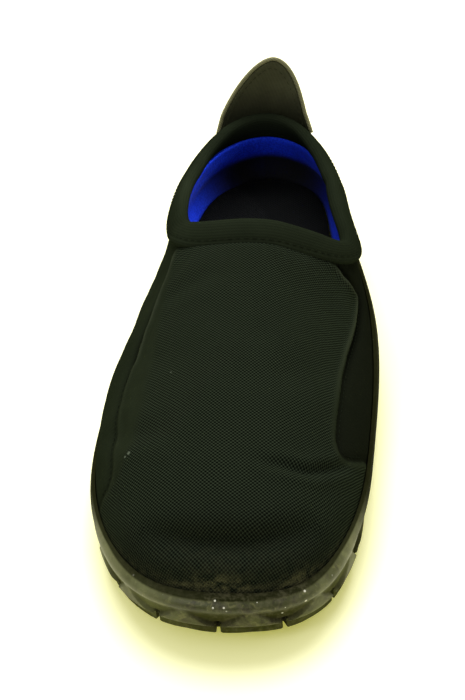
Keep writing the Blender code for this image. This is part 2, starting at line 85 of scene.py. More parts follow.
LOCK_DIAMETER = 9.0
LOCK_TALL = 12.0
LOCK_HOLE = 4.0
BUTTON_DIAMETER = 7.0
BUTTON_TALL = 5.0
KNOT = 4.2

# The last, one row for each section, toe by the outer side to the heel and back.
Section = namedtuple("Section", "name out_x out_s top_x top_s top_z rise bulge run pitch lip tuck rubber")
SECTIONS = [
    Section("toe",           5.0, 287.5,   3.0, 147.0, 74.0, 36.0,  3.5, 62.0, 17.0, 26.0, 0.0, 4.8),
    Section("toe_outer",   -22.5, 280.0,  -9.0, 146.0, 72.5, 35.0,  5.0, 58.0, 18.0, 24.0, 0.0, 4.6),
    Section("little_toe",  -44.8, 249.5, -18.0, 143.0, 69.5, 31.0,  9.0, 46.0, 24.0, 21.0, 0.0, 3.8),
    Section("ball_outer",  -51.6, 199.0, -24.2, 136.0, 65.0, 27.0, 12.0, 34.0, 36.0, 19.5, 0.0, 3.2),
    Section("waist_outer", -46.3, 146.0, -29.6, 116.0, 54.5, 22.0, 10.5, 22.0, 60.0, 21.5, 2.5, 3.0),
    Section("side_outer",  -39.5,  93.0, -33.2,  82.0, 44.0, 15.0,  8.0, 12.0, 80.0, 22.5, 2.0, 3.2),
    Section("heel_outer",  -36.2,  45.0, -30.4,  46.0, 40.0, 13.0,  7.0, 10.0, 84.0, 22.0, 0.0, 3.8),
    Section("back_outer",  -24.2,  12.5, -18.7,  18.5, 40.0, 13.0,  6.5, 10.0, 86.0, 23.5, 0.0, 4.2),
    Section("heel",          1.9,   0.5,   1.9,   8.0, 41.0, 13.0,  6.0, 10.0, 88.0, 24.5, 0.0, 4.4),
    Section("back_inner",   27.8,  12.5,  22.3,  18.5, 39.5, 13.0,  6.5, 10.0, 86.0, 23.5, 0.0, 4.2),
    Section("heel_inner",   37.8,  45.0,  34.5,  48.0, 39.5, 13.0,  7.0, 10.0, 84.0, 22.5, 0.0, 3.8),
    Section("side_inner",   44.5,  93.0,  41.0,  88.0, 43.0, 15.0,  9.0, 12.0, 80.0, 25.5, 6.0, 3.2),
    Section("waist_inner",  50.0, 146.0,  45.6, 124.0, 49.0, 21.0, 12.0, 18.0, 66.0, 28.0, 8.5, 3.0),
    Section("ball_inner",   50.3, 204.0,  34.6, 139.8, 60.0, 27.0, 13.5, 34.0, 40.0, 21.5, 2.0, 3.2),
    Section("big_toe",      46.0, 252.0,  20.5, 145.0, 69.5, 33.0,  9.0, 46.0, 26.0, 22.0, 0.0, 3.8),
    Section("toe_inner",    30.0, 280.5,  12.5, 146.5, 73.0, 35.0,  5.0, 58.0, 19.0, 24.0, 0.0, 4.6),
]
WallRing = namedtuple("WallRing", "share inset tuck cover")
WALL_RINGS = [
    WallRing(0.00, 2.2, 1.00, 1.8),
    WallRing(0.14, 0.7, 0.75, 1.8),
    WallRing(0.36, 0.0, 0.45, 1.8),
    WallRing(0.64, 0.0, 0.15, 1.8),
    WallRing(0.88, 0.8, 0.00, 1.5),
    WallRing(1.00, 2.2, 0.00, 1.0),
]
CordStop = namedtuple("CordStop", "name behind above aside")
CORD_STOPS = [
    CordStop("hanging",   -7.2,  24.0,  0.0),
    CordStop("beside",    -7.2,  10.0,  0.0),
    CordStop("turn",      -6.9,   3.4,  0.0),
    CordStop("entry",     -4.8,   0.3,  0.0),
    CordStop("middle",     0.0,   0.0,  0.0),
    CordStop("exit",       5.2,  -0.1,  0.0),
    CordStop("drop",       8.4,  -3.2,  0.6),
    CordStop("tail",      11.6, -12.0,  1.8),
    CordStop("knot",      15.0, -22.0,  3.4),
    CordStop("end",       17.6, -28.5,  4.4),
]

# ---------------------------------------------------------------- sizes of the looks
UPPER_COLUMNS = 600
UPPER_ROWS = 126
LINING_ROWS = 24
SOLE_HALF = 470
SOLE_ROWS = 40
FACET_TOP = 0.74        # share of the rubber wall that the triangular facets take
FACET_PROUD = 0.55
FACET_DEEP = 2.0
MESH_ACROSS = 1.50      # repeat of the net
MESH_ALONG = 1.25
STITCH_PITCH = 3.2
THREAD = 0.50
SEWN_ASIDE = 1.9        # stitches from the seam, over the smooth strip

# Seams between the mesh of the vamp and the smooth side panels, from the collar down
# to the rubber: round is the share of the way round from the toe (outer side
# positive), height the share of the wall from sole to collar, band the width of the
# smooth strip that lies inside the seam.
SeamPoint = namedtuple("SeamPoint", "round height band")
OUTER_SEAM = [
    SeamPoint(0.178, 1.02, 2.5), SeamPoint(0.168, 0.90, 3.5), SeamPoint(0.1542, 0.80, 5.0), SeamPoint(0.136, 0.70, 7.5),
    SeamPoint(0.1292, 0.63, 9.5), SeamPoint(0.1225, 0.552, 11.5), SeamPoint(0.1175, 0.502, 13.0), SeamPoint(0.1117, 0.462, 13.0),
    SeamPoint(0.1058, 0.415, 12.0), SeamPoint(0.0983, 0.375, 10.0), SeamPoint(0.0940, 0.328, 6.0), SeamPoint(0.0960, 0.268, 2.5),
    SeamPoint(0.1042, 0.197, 2.0), SeamPoint(0.117, 0.06, 2.0), SeamPoint(0.122, -0.02, 2.0),
]
INNER_SEAM = [
    SeamPoint(-0.176, 1.02, 2.0), SeamPoint(-0.1925, 0.95, 2.0), SeamPoint(-0.214, 0.86, 2.0), SeamPoint(-0.226, 0.79, 2.0),
    SeamPoint(-0.222, 0.735, 2.2), SeamPoint(-0.1967, 0.680, 2.4), SeamPoint(-0.1417, 0.592, 2.6), SeamPoint(-0.1092, 0.522, 2.8),
    SeamPoint(-0.0905, 0.448, 2.8), SeamPoint(-0.0868, 0.412, 2.6), SeamPoint(-0.0878, 0.378, 2.4), SeamPoint(-0.0958, 0.341, 2.2),
    SeamPoint(-0.1142, 0.278, 2.0), SeamPoint(-0.130, 0.214, 2.0), SeamPoint(-0.150, 0.08, 2.0), SeamPoint(-0.158, -0.02, 2.0),
]

# Creases of the upper: depth of the trough, its half width, height
# of the ridges beside it, and its way over the upper as (x, s, z).
Crease = namedtuple("Crease", "name depth width ridge way")
CREASES = [
    Crease("flex_inner",      1.9, 2.0, 0.8, [(12.9, 241.6, 51.3), (16.5, 243.9, 50.0), (20.3, 244.6, 48.9), (26.6, 244.6, 46.4), (31.8, 242.6, 43.9), (40.0, 235.9, 38.4), (45.5, 228.4, 33.0)]),
    Crease("toe_dip",         3.2, 4.1, 1.1, [(-26.4, 262.2, 36.4), (-18.5, 267.2, 37.2), (-4.5, 271.6, 38.8), (3.8, 272.3, 39.1), (12.7, 271.8, 38.8), (25.9, 267.0, 37.6), (35.4, 259.0, 34.4)]),
    Crease("vamp_top_outer",  0.8, 4.0, 0.6, [(-29.5, 163, 55), (-22, 163.5, 60.5), (-12, 161.5, 66), (-2, 159, 69.5)]),
    Crease("flex_outer",      0.9, 4.0, 0.5, [(-47, 212, 30), (-39, 221, 41), (-29, 227, 48), (-16, 231, 53)]),
    Crease("vamp_inner",      0.7, 6.0, 0.4, [(43, 186, 42), (33, 197, 50), (18, 209, 57), (4, 214, 60)]),
    Crease("vamp_outer",      0.6, 6.0, 0.3, [(-40, 182, 46), (-30, 190, 52), (-16, 198, 58)]),
    Crease("side_inner_low",  1.2, 4.5, 0.7, [(40, 58, 27), (45, 92, 29), (50, 128, 31), (52, 160, 28)]),
    Crease("side_inner_high", 0.9, 4.0, 0.6, [(40, 84, 38), (45, 112, 41), (48, 136, 42), (50, 158, 37)]),
    Crease("side_outer_low",  1.0, 4.5, 0.6, [(-38, 62, 27), (-43, 95, 29), (-48, 128, 31), (-51, 165, 29)]),
    Crease("side_outer_high", 0.8, 4.0, 0.5, [(-37, 100, 42), (-42, 124, 44), (-44, 145, 47)]),
    Crease("heel_inner",      0.7, 3.0, 0.4, [(26, 12, 36), (30, 22, 31), (36, 34, 27)]),
    Crease("heel_outer",      0.7, 3.0, 0.4, [(-22, 12, 36), (-27, 22, 31), (-33, 34, 27)]),
]


# ---------------------------------------------------------------- the last
def closed_spline(knots, period, values):
    count = len(knots)
    step = np.diff(np.append(knots, knots[0] + period))
    lhs = np.zeros((count, count))
    rhs = np.zeros(values.shape)
    for i in range(count):
        before, after = step[i - 1], step[i]
        lhs[i, i - 1] += before
        lhs[i, i] += 2.0 * (before + after)
        lhs[i, (i + 1) % count] += after
        rhs[i] = 6.0 * ((values[(i + 1) % count] - values[i]) / after - (values[i] - values[i - 1]) / before)
    bend = np.linalg.solve(lhs, rhs)

    def at(t):
        t = np.mod(np.asarray(t, float) - knots[0], period) + knots[0]
        i = np.clip(np.searchsorted(knots, t, side="right") - 1, 0, count - 1)
        j = (i + 1) % count
        b = ((t - knots[i]) / step[i])[..., None]
        a = 1.0 - b
        return (a * values[i] + b * values[j]
                + ((a ** 3 - a) * bend[i] + (b ** 3 - b) * bend[j]) * (step[i] ** 2 / 6.0)[..., None])
    return at


TABLE = np.array([row[1:] for row in SECTIONS], float)
SPACING = np.linalg.norm(np.roll(TABLE[:, :2], -1, 0) - TABLE[:, :2], axis=1)
LAST = closed_spline(np.concatenate([[0.0], np.cumsum(SPACING)[:-1]]) / SPACING.sum(), 1.0, TABLE)


def smooth(x):
    x = np.clip(x, 0.0, 1.0)
    return x * x * (3.0 - 2.0 * x)


def bell(x):
    return np.exp(-x * x)


def ground(s):
    s = np.asarray(s, float)
    toe = TOE_SPRING * np.clip((s - TOE_SPRING_FROM) / (LENGTH - TOE_SPRING_FROM), 0, 1) ** 2
    heel = HEEL_BEVEL * np.clip((14.0 - s) / 14.0, 0, 1) ** 2
    arch = ARCH_RISE * np.clip(1.0 - ((s - ARCH_MIDDLE) / ARCH_HALF) ** 2, 0, 1) ** 2
    return toe + heel + arch


def cup_floor(s):
    return ground(s) + CUP_FLOOR + HEEL_LIFT * smooth((150.0 - np.asarray(s, float)) / 110.0)


def outline_frame(u):
    here = LAST(u)
    along = (LAST(u + 1e-4) - LAST(u - 1e-4))[:, :2]
    along /= np.linalg.norm(along, axis=1)[:, None]
    return here, np.stack([along[:, 1], -along[:, 0]], 1)


def wall_controls(u):
    row, out = outline_frame(u)
    ox, os_, tx, ts, tz, rise, bulge, run, pitch = row.T[:9]
    rubber = row[:, 11]
    foot = np.stack([ox - out[:, 0] * rubber, os_ - out[:, 1] * rubber, cup_floor(os_) + 0.4], 1)
    lower = foot + np.stack([out[:, 0] * bulge, out[:, 1] * bulge, rise], 1)
    top = np.stack([tx, ts, tz], 1)
    away = foot[:, :2] - top[:, :2]
    away /= np.linalg.norm(away, axis=1)[:, None]
    slope = np.radians(pitch)
    upper = top + np.stack([away[:, 0] * np.cos(slope), away[:, 1] * np.cos(slope), -np.sin(slope)], 1) * run[:, None]
    return foot, lower, upper, top


def wall_point(u, v):
    p0, p1, p2, p3 = wall_controls(u)
    v = np.asarray(v, float)
    v = (np.full(len(u), float(v)) if v.ndim == 0 else v)[:, None]
    w = 1.0 - v
    return w ** 3 * p0 + 3 * w * w * v * p1 + 3 * w * v * v * p2 + v ** 3 * p3


def wall_at_height(u, z):
    low, high = np.zeros(len(u)), np.full(len(u), 0.75)
    for _ in range(40):
        mid = 0.5 * (low + high)
        below = wall_point(u, mid)[:, 2] < z
        low, high = np.where(below, mid, low), np.where(below, high, mid)
    return wall_point(u, low)


def column_positions(half):
    """u of each column: toe, outer side, heel, inner side; both sides share s."""
    fine = np.linspace(0.0, 1.0, 4001)[:-1]
    plan = LAST(fine)[:, :2]
    toe, heel = int(np.argmax(plan[:, 1])), int(np.argmin(plan[:, 1]))
    toe_u = fine[toe] - (1.0 if fine[toe] > 0.5 else 0.0)
    heel_u = fine[heel]
    outer = np.linspace(toe_u, heel_u, 4001)
    inner = np.linspace(toe_u + 1.0, heel_u, 4001)
    walk = LAST(outer)[:, :2]
    arc = np.concatenate([[0.0], np.cumsum(np.linalg.norm(np.diff(walk, axis=0), axis=1))])
    outer_u = np.interp(np.linspace(0.0, arc[-1], half + 1), arc, outer)
    stations = LAST(outer_u)[:, 1]
    inner_s = LAST(inner)[:, 1]
    inner_u = np.interp(-stations, -inner_s, inner)
    return np.concatenate([outer_u, inner_u[-2:0:-1]]), heel_u


def even_columns(count):
    """u of columns round the outline, starting at the toe, closer together at the front."""
    fine = np.linspace(0.0, 1.0, 6001)
    plan = LAST(fine)[:, :2]
    front = smooth((0.31 - np.minimum(fine, 1.0 - fine)) / 0.08)
    steps = np.linalg.norm(np.diff(plan, axis=0), axis=1) * (0.55 + 0.80 * front[1:])
    arc = np.concatenate([[0.0], np.cumsum(steps)])
    return np.interp(np.linspace(0.0, arc[-1], count, endpoint=False), arc, fine)


def ring_values(share):
    """Inset, tuck and cover of the rubber wall at a share of its height, smoothly."""
    knots = np.array([ring.share for ring in WALL_RINGS])
    found = []
    for column in ("inset", "tuck", "cover"):
        values = np.array([getattr(ring, column) for ring in WALL_RINGS])
        slopes = np.gradient(values, knots)
        i = np.clip(np.searchsorted(knots, share, side="right") - 1, 0, len(knots) - 2)
        h = knots[i + 1] - knots[i]
        t = (share - knots[i]) / h
        found.append(float((2 * t ** 3 - 3 * t ** 2 + 1) * values[i] + (t ** 3 - 2 * t ** 2 + t) * h * slopes[i]
                           + (3 * t ** 2 - 2 * t ** 3) * values[i + 1] + (t ** 3 - t ** 2) * h * slopes[i + 1]))
    return found


def wall_ring(u, row, out, inset, tuck, cover, share):
    """One ring of the rubber's outer face."""
    s = row[:, 1]
    base = ground(s) + LUG_HEIGHT
    foot_z = cup_floor(s) + 0.4
    z = base + (row[:, 9] - base) * share
    inner = wall_at_height(u, np.maximum(z, foot_z + 0.01))[:, :2] + out * GAP
    depth = np.sum((inner - row[:, :2]) * out, axis=1)
    thick = np.maximum(cover, -(inset + row[:, 10] * tuck) - depth)
    return np.column_stack([inner + out * thick[:, None], z])


CAD_U, HEEL_U = column_positions(HALF_STATIONS)
CAD_ROW, CAD_OUT = outline_frame(CAD_U)
CAD_RINGS = np.concatenate([wall_ring(CAD_U, CAD_ROW, CAD_OUT, r.inset, r.tuck, r.cover, r.share) for r in WALL_RINGS])
CENTRE_X = 0.5 * (CAD_RINGS[:, 0].min() + CAD_RINGS[:, 0].max())
CENTRE_S = 0.5 * (CAD_RINGS[:, 1].min() + CAD_RINGS[:, 1].max())


def world(points):
    """x, s, z in millimetres to the object's frame in metres."""
    points = np.asarray(points, float)
    return np.stack([points[..., 0] - CENTRE_X, CENTRE_S - points[..., 1], points[..., 2]], -1) * MM


# ---------------------------------------------------------------- mesh helpers
def quad_grid(rows, columns, wrap_rows, wrap_columns, first=0):
    """Quads of a grid, with the row and column of each corner before wrapping."""
    j, k = np.meshgrid(np.arange(rows if wrap_rows else rows - 1),
                       np.arange(columns if wrap_columns else columns - 1), indexing="ij")
    cj = np.stack([j, j + 1, j + 1, j], -1).reshape(-1, 4)
    ck = np.stack([k, k, k + 1, k + 1], -1).reshape(-1, 4)
    return first + (cj % rows) * columns + (ck % columns), cj, ck


def piece(name, points, faces, materials, shade_angle=None):
    """A mesh object from points in the shoe's millimetres, riding on the shoe."""
    mesh = bpy.data.meshes.new(name)
    faces = faces.tolist() if isinstance(faces, np.ndarray) else [list(map(int, f)) for f in faces]
    mesh.from_pydata(world(points).tolist(), [], faces)
    for material in materials:
        mesh.materials.append(material)
    mesh.shade_smooth()
    if shade_angle is not None:
        mesh.set_sharp_from_angle(angle=math.radians(shade_angle))
    ob = bpy.data.objects.new(name, mesh)
    bpy.context.scene.collection.objects.link(ob)
    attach(ob, "root")
    return ob


def put_uv(ob, name, corners):
    layer = ob.data.uv_layers.new(name=name)
    layer.data.foreach_set("uv", np.asarray(corners, np.float32).reshape(-1))


def put_value(ob, name, values):
    attribute = ob.data.attributes.new(name, "FLOAT", "POINT")
    attribute.data.foreach_set("value", np.asarray(values, np.float32))


def spaced(path, spacing):
    """Evenly spaced points along a smooth curve through the route's own points."""
    path = np.asarray(path, float)
    fine = []
    for i in range(len(path) - 1):
        a, b = path[max(i - 1, 0)], path[i]
        c, d = path[i + 1], path[min(i + 2, len(path) - 1)]
        t = np.linspace(0.0, 1.0, 40, endpoint=False)[:, None]
        fine.append(0.5 * (2 * b + (c - a) * t + (2 * a - 5 * b + 4 * c - d) * t ** 2 + (3 * b - a - 3 * c + d) * t ** 3))
    fine = np.concatenate(fine + [path[-1:]])
    arc = np.concatenate([[0.0], np.cumsum(np.linalg.norm(np.diff(fine, axis=0), axis=1))])
    marks = np.linspace(0.0, arc[-1], max(int(round(arc[-1] / spacing)), 2) + 1)
    return np.column_stack([np.interp(marks, arc, fine[:, c]) for c in range(fine.shape[1])])


def from_path(points, path, chunk=12000):
    """Distance of each point from a path, and the share along it of the nearest place."""
    far, share = np.empty(len(points)), np.empty(len(points))
    for start in range(0, len(points), chunk):
        part = points[start:start + chunk]
        square = ((part[:, None, :] - path[None, :, :]) ** 2).sum(-1)
        near = square.argmin(1)
        far[start:start + chunk] = np.sqrt(square[np.arange(len(part)), near])
        share[start:start + chunk] = near / (len(path) - 1.0)
    return far, share


def unit(vectors):
    return vectors / np.maximum(np.linalg.norm(vectors, axis=-1, keepdims=True), 1e-12)


def ripple(points, size, seed):
    """Soft waves of about that size, between -1 and 1, the same each run."""
    chance = np.random.default_rng(seed)
    total = np.zeros(len(points))
    for _ in range(7):
        way = unit(chance.normal(size=3))
        total += np.sin(points @ way * (2 * math.pi / (size * chance.uniform(0.7, 1.5))) + chance.uniform(0, 6.28))
    return total / 4.5


def tube(path, radius, sides, up=None):
    """Rings of a round tube along a path, with parallel frames."""
    path = np.asarray(path, float)
    radius = np.broadcast_to(np.asarray(radius, float), (len(path),))
    tangent = unit(np.gradient(path, axis=0))
    normal = np.cross(tangent[0], [0.3, 0.2, 1.0] if up is None else up)
    rings = []
    for i, t in enumerate(tangent):
        normal = unit(normal - np.dot(normal, t) * t)
        other = np.cross(t, normal)
        turn = np.linspace(0, 2 * math.pi, sides, endpoint=False)[:, None]
        rings.append(path[i] + (np.cos(turn) * normal + np.sin(turn) * other) * radius[i])
    return np.array(rings)


def capped_tube(rings, first=0):
    """Points and faces of a closed tube with domed ends."""
    count, sides = rings.shape[:2]
    faces, _, _ = quad_grid(count, sides, False, True)
    faces = [list(f[::-1]) for f in faces]
    points = rings.reshape(-1, 3)
    ends = np.array([rings[0].mean(0), rings[-1].mean(0)])
    low, high = len(points), len(points) + 1
    for k in range(sides):
        faces.append([low, (k + 1) % sides, k])
        faces.append([high, (count - 1) * sides + k, (count - 1) * sides + (k + 1) % sides])
    return np.concatenate([points, ends]), [[first + i for i in f] for f in faces]


def stitches(rows, thread=THREAD, share=0.72, sides=6):
    """Short threads laid along paths; each row is (path points, outward normals, pitch)."""
    points, faces, count = [], [], 0
    for path, normal, pitch in rows:
        arc = np.concatenate([[0.0], np.cumsum(np.linalg.norm(np.diff(path, axis=0), axis=1))])
        number = max(int(arc[-1] / pitch), 1)
        for i in range(number):
            middle = (i + 0.5) * arc[-1] / number
            half = 0.5 * share * pitch
            marks = middle + half * np.array([-1.0, -0.86, -0.45, 0.0, 0.45, 0.86, 1.0])
            lift = np.array([-0.75, -0.3, 0.12, 0.22, 0.12, -0.3, -0.75]) * thread
            swell = np.array([0.35, 0.8, 1.0, 1.0, 1.0, 0.8, 0.35]) * thread / 2
            line = np.column_stack([np.interp(marks, arc, path[:, c]) for c in range(3)])
            out = unit(np.column_stack([np.interp(marks, arc, normal[:, c]) for c in range(3)]))
            got, sides_ = capped_tube(tube(line + out * lift[:, None], swell, sides), count)
            points.append(got)
            faces += sides_
            count += len(got)
    return np.concatenate(points), faces


# ---------------------------------------------------------------- material helpers
class Look:
    """A material of one Principled shader, with short names for the nodes it uses."""

    def __init__(self, name, **values):
        self.material = bpy.data.materials.new(name)
        self.material.use_nodes = True
        self.tree = self.material.node_tree
        self.shader = self.tree.nodes["Principled BSDF"]
        for socket, value in values.items():
            self.set(socket.replace("_", " "), value)

    def set(self, socket, value):
        self.put(value, self.shader.inputs[socket])

    def put(self, value, socket):
        if isinstance(value, bpy.types.NodeSocket):
            self.tree.links.new(value, socket)
        elif isinstance(value, (tuple, list)) and len(value) == 3 and socket.type == "RGBA":
            socket.default_value = (*value, 1.0)
        else:
            socket.default_value = value

    def node(self, kind, **settings):
        made = self.tree.nodes.new(kind)
        for key, value in settings.items():
            setattr(made, key, value)
        return made

    def math(self, operation, a, b=0.0, c=0.0, clamp=False):
        made = self.node("ShaderNodeMath", operation=operation, use_clamp=clamp)
        for socket, value in zip(made.inputs, (a, b, c)):
            self.put(value, socket)
        return made.outputs[0]

    def between(self, value, low, high, to_low=0.0, to_high=1.0, kind="SMOOTHSTEP"):
        made = self.node("ShaderNodeMapRange", interpolation_type=kind, clamp=True)
        for socket, x in zip(made.inputs, (value, low, high, to_low, to_high)):
            self.put(x, socket)
        return made.outputs[0]

    def mix(self, share, a, b, blend="MIX"):
        made = self.node("ShaderNodeMix", data_type="RGBA", blend_type=blend, clamp_factor=True)
        self.put(share, made.inputs[0])
        self.put(a, made.inputs[6])
        self.put(b, made.inputs[7])
        return made.outputs[2]

    def blend(self, share, a, b):
        made = self.node("ShaderNodeMix", data_type="FLOAT", clamp_factor=True)
        self.put(share, made.inputs[0])
        self.put(a, made.inputs[2])
        self.put(b, made.inputs[3])
        return made.outputs[0]

    def place(self):
        """The point in the object's own frame, in millimetres."""
        made = self.node("ShaderNodeVectorMath", operation="SCALE")
        self.put(self.node("ShaderNodeTexCoord").outputs["Object"], made.inputs[0])
        made.inputs["Scale"].default_value = 1000.0
        return made.outputs[0]

    def noise(self, place, size, detail=2.0, rough=0.5, distortion=0.0):
        made = self.node("ShaderNodeTexNoise", noise_dimensions="3D")
        self.put(place, made.inputs["Vector"])
        made.inputs["Scale"].default_value = 1.0 / size
        made.inputs["Detail"].default_value = detail
        made.inputs["Roughness"].default_value = rough
        made.inputs["Distortion"].default_value = distortion
        return made.outputs[0]

    def cells(self, place, size, feature="F1", randomness=1.0):
        made = self.node("ShaderNodeTexVoronoi", feature=feature)
        self.put(place, made.inputs["Vector"])
        made.inputs["Scale"].default_value = 1.0 / size
        made.inputs["Randomness"].default_value = randomness
        return made.outputs[0]

    def value(self, name):
        return self.node("ShaderNodeAttribute", attribute_name=name, attribute_type="GEOMETRY").outputs["Fac"]

    def uv(self, name):
        split = self.node("ShaderNodeSeparateXYZ")
        self.put(self.node("ShaderNodeUVMap", uv_map=name).outputs[0], split.inputs[0])
        return split.outputs[0], split.outputs[1]

    def wave(self, x, length, shift=0.0):
        return self.math("SINE", self.math("MULTIPLY_ADD", x, 2 * math.pi / length, shift))

    def near(self, place, spots, radius):
        """1 close to any of the given points of the shoe (x, s, z), 0 elsewhere."""
        found = None
        for spot in spots:
            made = self.node("ShaderNodeVectorMath", operation="DISTANCE")
            self.put(place, made.inputs[0])
            at = world(np.array(spot[:3], float)) * 1000.0
            made.inputs[1].default_value = tuple(at)
            size = radius * (spot[3] if len(spot) > 3 else 1.0)
            hit = self.between(made.outputs["Value"], size, size * 0.45)
            found = hit if found is None else self.math("MAXIMUM", found, hit)
        return found

    def bump(self, height, distance, strength=1.0, normal=None):
        made = self.node("ShaderNodeBump")
        made.inputs["Strength"].default_value = strength
        made.inputs["Distance"].default_value = distance * MM
        self.put(height, made.inputs["Height"])
        if normal is not None:
            self.put(normal, made.inputs["Normal"])
        return made.outputs[0]


# ---------------------------------------------------------------- materials
def upper_material():
    """Black net over the vamp, smooth stretch cloth at the sides and along the seams."""
    look = Look("mesh_upper", Specular_IOR_Level=0.0)
    place = look.place()
    across, along = look.uv("vamp")
    stray = look.noise(place, 26.0, 2.0)
    across = look.math("MULTIPLY_ADD", stray, 2.0, across)
    along = look.math("MULTIPLY_ADD", look.noise(place, 31.0, 2.0), 2.2, along)
    net = look.math("MULTIPLY", look.wave(across, MESH_ACROSS), look.wave(along, MESH_ALONG))
    hole = look.between(net, 0.05, -0.60)
    knot = look.between(net, 0.15, 0.95)
    strand = look.math("MULTIPLY", look.wave(across, MESH_ACROSS / 4.0), 0.06)
    net_height = look.math("ADD", look.math("MULTIPLY_ADD", hole, -0.80, look.math("MULTIPLY", knot, 0.35)), strand)

    arc, tall = look.uv("side")
    rib = look.math("MULTIPLY", look.wave(arc, 1.1), look.wave(tall, 1.5, 0.7))
    soft = look.noise(place, 0.8, 3.0)
    side_height = look.math("MULTIPLY_ADD", soft, 0.35, look.math("MULTIPLY", rib, 0.16))

    netted = look.value("netted")
    height = look.blend(netted, side_height, net_height)
    cloud = look.noise(place, 18.0, 3.0)
    thread = look.mix(cloud, (0.0108, 0.0150, 0.0086), (0.0155, 0.0209, 0.0122))
    thread = look.mix(knot, thread, (0.0270, 0.0350, 0.0215))
    net_colour = look.mix(hole, thread, (0.0024, 0.0030, 0.0021))
    side_colour = look.mix(cloud, (0.0082, 0.0110, 0.0060), (0.0130, 0.0168, 0.0090))
    colour = look.mix(netted, side_colour, net_colour)
    colour = look.mix(look.math("MULTIPLY", look.value("band"), 0.60), colour, look.mix(look.noise(place, 5.0, 3.0), (0.0085, 0.0114, 0.0060), (0.0165, 0.0211, 0.0111)))
    # Painted highlight: the raised edge of the net beside each seam is lightened as if lit.
    colour = look.mix(look.math("MULTIPLY", look.value("edge"), 0.65), colour, (0.0340, 0.0410, 0.0255))
    # Painted shade: the inner side panel is darkened as if in shadow.
    colour = look.mix(look.math("MULTIPLY", look.value("painted_shade_inner_panel"), 0.60), colour, (0.0036, 0.0035, 0.0027))
    # Painted shadow: a dark line along each seam, where the fold of the cloth casts its shadow.
    colour = look.mix(look.math("MULTIPLY", look.value("seam"), 0.90), colour, (0.0016, 0.0019, 0.0013))
    # Painted shade: the cloth ahead of the toe dip, facing forward and down, is darkened.
    colour = look.mix(look.math("MULTIPLY", look.value("painted_shade_toe"), 0.28), colour, (0.0038, 0.0034, 0.0026))
    grit = look.noise(place, 2.6, 4.0, 0.65)
    dust = look.math("MULTIPLY", look.value("dust"), look.between(grit, 0.36, 0.66))
    colour = look.mix(look.math("MULTIPLY", dust, 0.55), colour, (0.105, 0.100, 0.048))
    lint = look.near(place, [(-20.3, 203.4, 56.0, 1.0), (-33.0, 233.0, 43.0, 1.5), (-34.4, 233.8, 42.0, 0.9), (14, 176, 66.0, 0.5)], 0.62)
    colour = look.mix(lint, colour, (0.085, 0.100, 0.072))
    look.set("Base Color", colour)
    look.set("Roughness", look.blend(netted, 0.62, 0.74))
    look.set("Normal", look.bump(height, 0.45, 0.85))
    return look.material


def lining_material():
    """Royal blue brushed lining in the quarters, black behind the net."""
    look = Look("blue_lining", Roughness=0.86, Sheen_Weight=0.04, Sheen_Roughness=0.35, Sheen_Tint=(0.35, 0.45, 1.0), Specular_IOR_Level=0.10)
    place = look.place()
    nap = look.noise(place, 0.9, 3.0, 0.6)
    cloud = look.noise(place, 14.0, 3.0)
    blue = look.mix(cloud, (0.0095, 0.0420, 0.72), (0.0160, 0.0660, 0.95))
    blue = look.mix(look.between(nap, 0.62, 0.35), blue, (0.0060, 0.0260, 0.56))
    # Painted shade: the lining on the inner side is a darker blue, as if less lit.
    blue = look.mix(look.math("MULTIPLY", look.value("painted_shade_inner_lining"), 0.60), blue, (0.0040, 0.0140, 0.26))
    black = look.mix(nap, (0.0035, 0.0038, 0.0042), (0.0075, 0.0078, 0.0078))
    look.set("Base Color", look.mix(look.value("quarter"), black, blue))
    look.set("Normal", look.bump(nap, 0.35, 0.7))
    return look.material


def binding_material():
    """Black stretch binding with fine ribs along it."""
    look = Look("stretch_binding", Specular_IOR_Level=0.0)
    place = look.place()
    along, around = look.uv("roll")
    rib = look.math("MULTIPLY_ADD", look.wave(around, 1.15), 0.5, 0.5)
    knit = look.math("MULTIPLY", look.wave(along, 0.95), look.wave(around, 1.15, 1.2))
    fuzz = look.noise(place, 1.1, 3.0)
    height = look.math("ADD", look.math("MULTIPLY", rib, 0.30), look.math("MULTIPLY_ADD", knit, 0.26, look.math("MULTIPLY", fuzz, 0.5)))
    cloud = look.noise(place, 12.0, 3.0)
    # Painted shade: the sides and back of the binding are darker than its front, as if less lit.
    sides = look.mix(cloud, (0.0072, 0.0097, 0.0052), (0.0108, 0.0141, 0.0078))
    colour = look.mix(look.value("front"), sides, look.mix(cloud, (0.0098, 0.0130, 0.0073), (0.0150, 0.0194, 0.0110)))
    colour = look.mix(look.between(rib, 0.35, 0.0, 0.0, 0.38), colour, (0.0048, 0.0061, 0.0036))
    look.set("Base Color", colour)
    look.set("Roughness", look.between(fuzz, 0.2, 0.8, 0.66, 0.82, "LINEAR"))
    look.set("Normal", look.bump(height, 0.28, 0.8))
    return look.material


def tab_material(name, light):
    """Woven tab cloth: grey-olive inside, black outside."""
    look = Look(name, Specular_IOR_Level=0.03)
    place = look.place()
    across, up = look.uv("cloth")
    twill = look.wave(look.math("ADD", across, up), 1.25)
    cross = look.wave(look.math("SUBTRACT", across, up), 1.25)
    weave = look.math("MULTIPLY", twill, cross)
    fuzz = look.noise(place, 1.4, 4.0, 0.6)
    cloud = look.noise(place, 9.0, 3.0)
    dark, pale = ((0.045, 0.046, 0.025), (0.088, 0.090, 0.048)) if light else ((0.0075, 0.0088, 0.0062), (0.0120, 0.0140, 0.0096))
    colour = look.mix(cloud, dark, pale)
    colour = look.mix(look.between(weave, -0.1, -0.9, 0.0, 0.75), colour, tuple(x * 0.25 for x in dark))
    if light:
        colour = look.mix(look.between(up, 66.0, 49.0, 0.0, 0.70), colour, (0.0085, 0.0100, 0.0060))
    look.set("Base Color", colour)
    look.set("Roughness", look.between(fuzz, 0.3, 0.7, 0.7, 0.88, "LINEAR"))
    look.set("Normal", look.bump(look.math("MULTIPLY_ADD", fuzz, 0.4, weave), 0.25, 0.7))
    return look.material


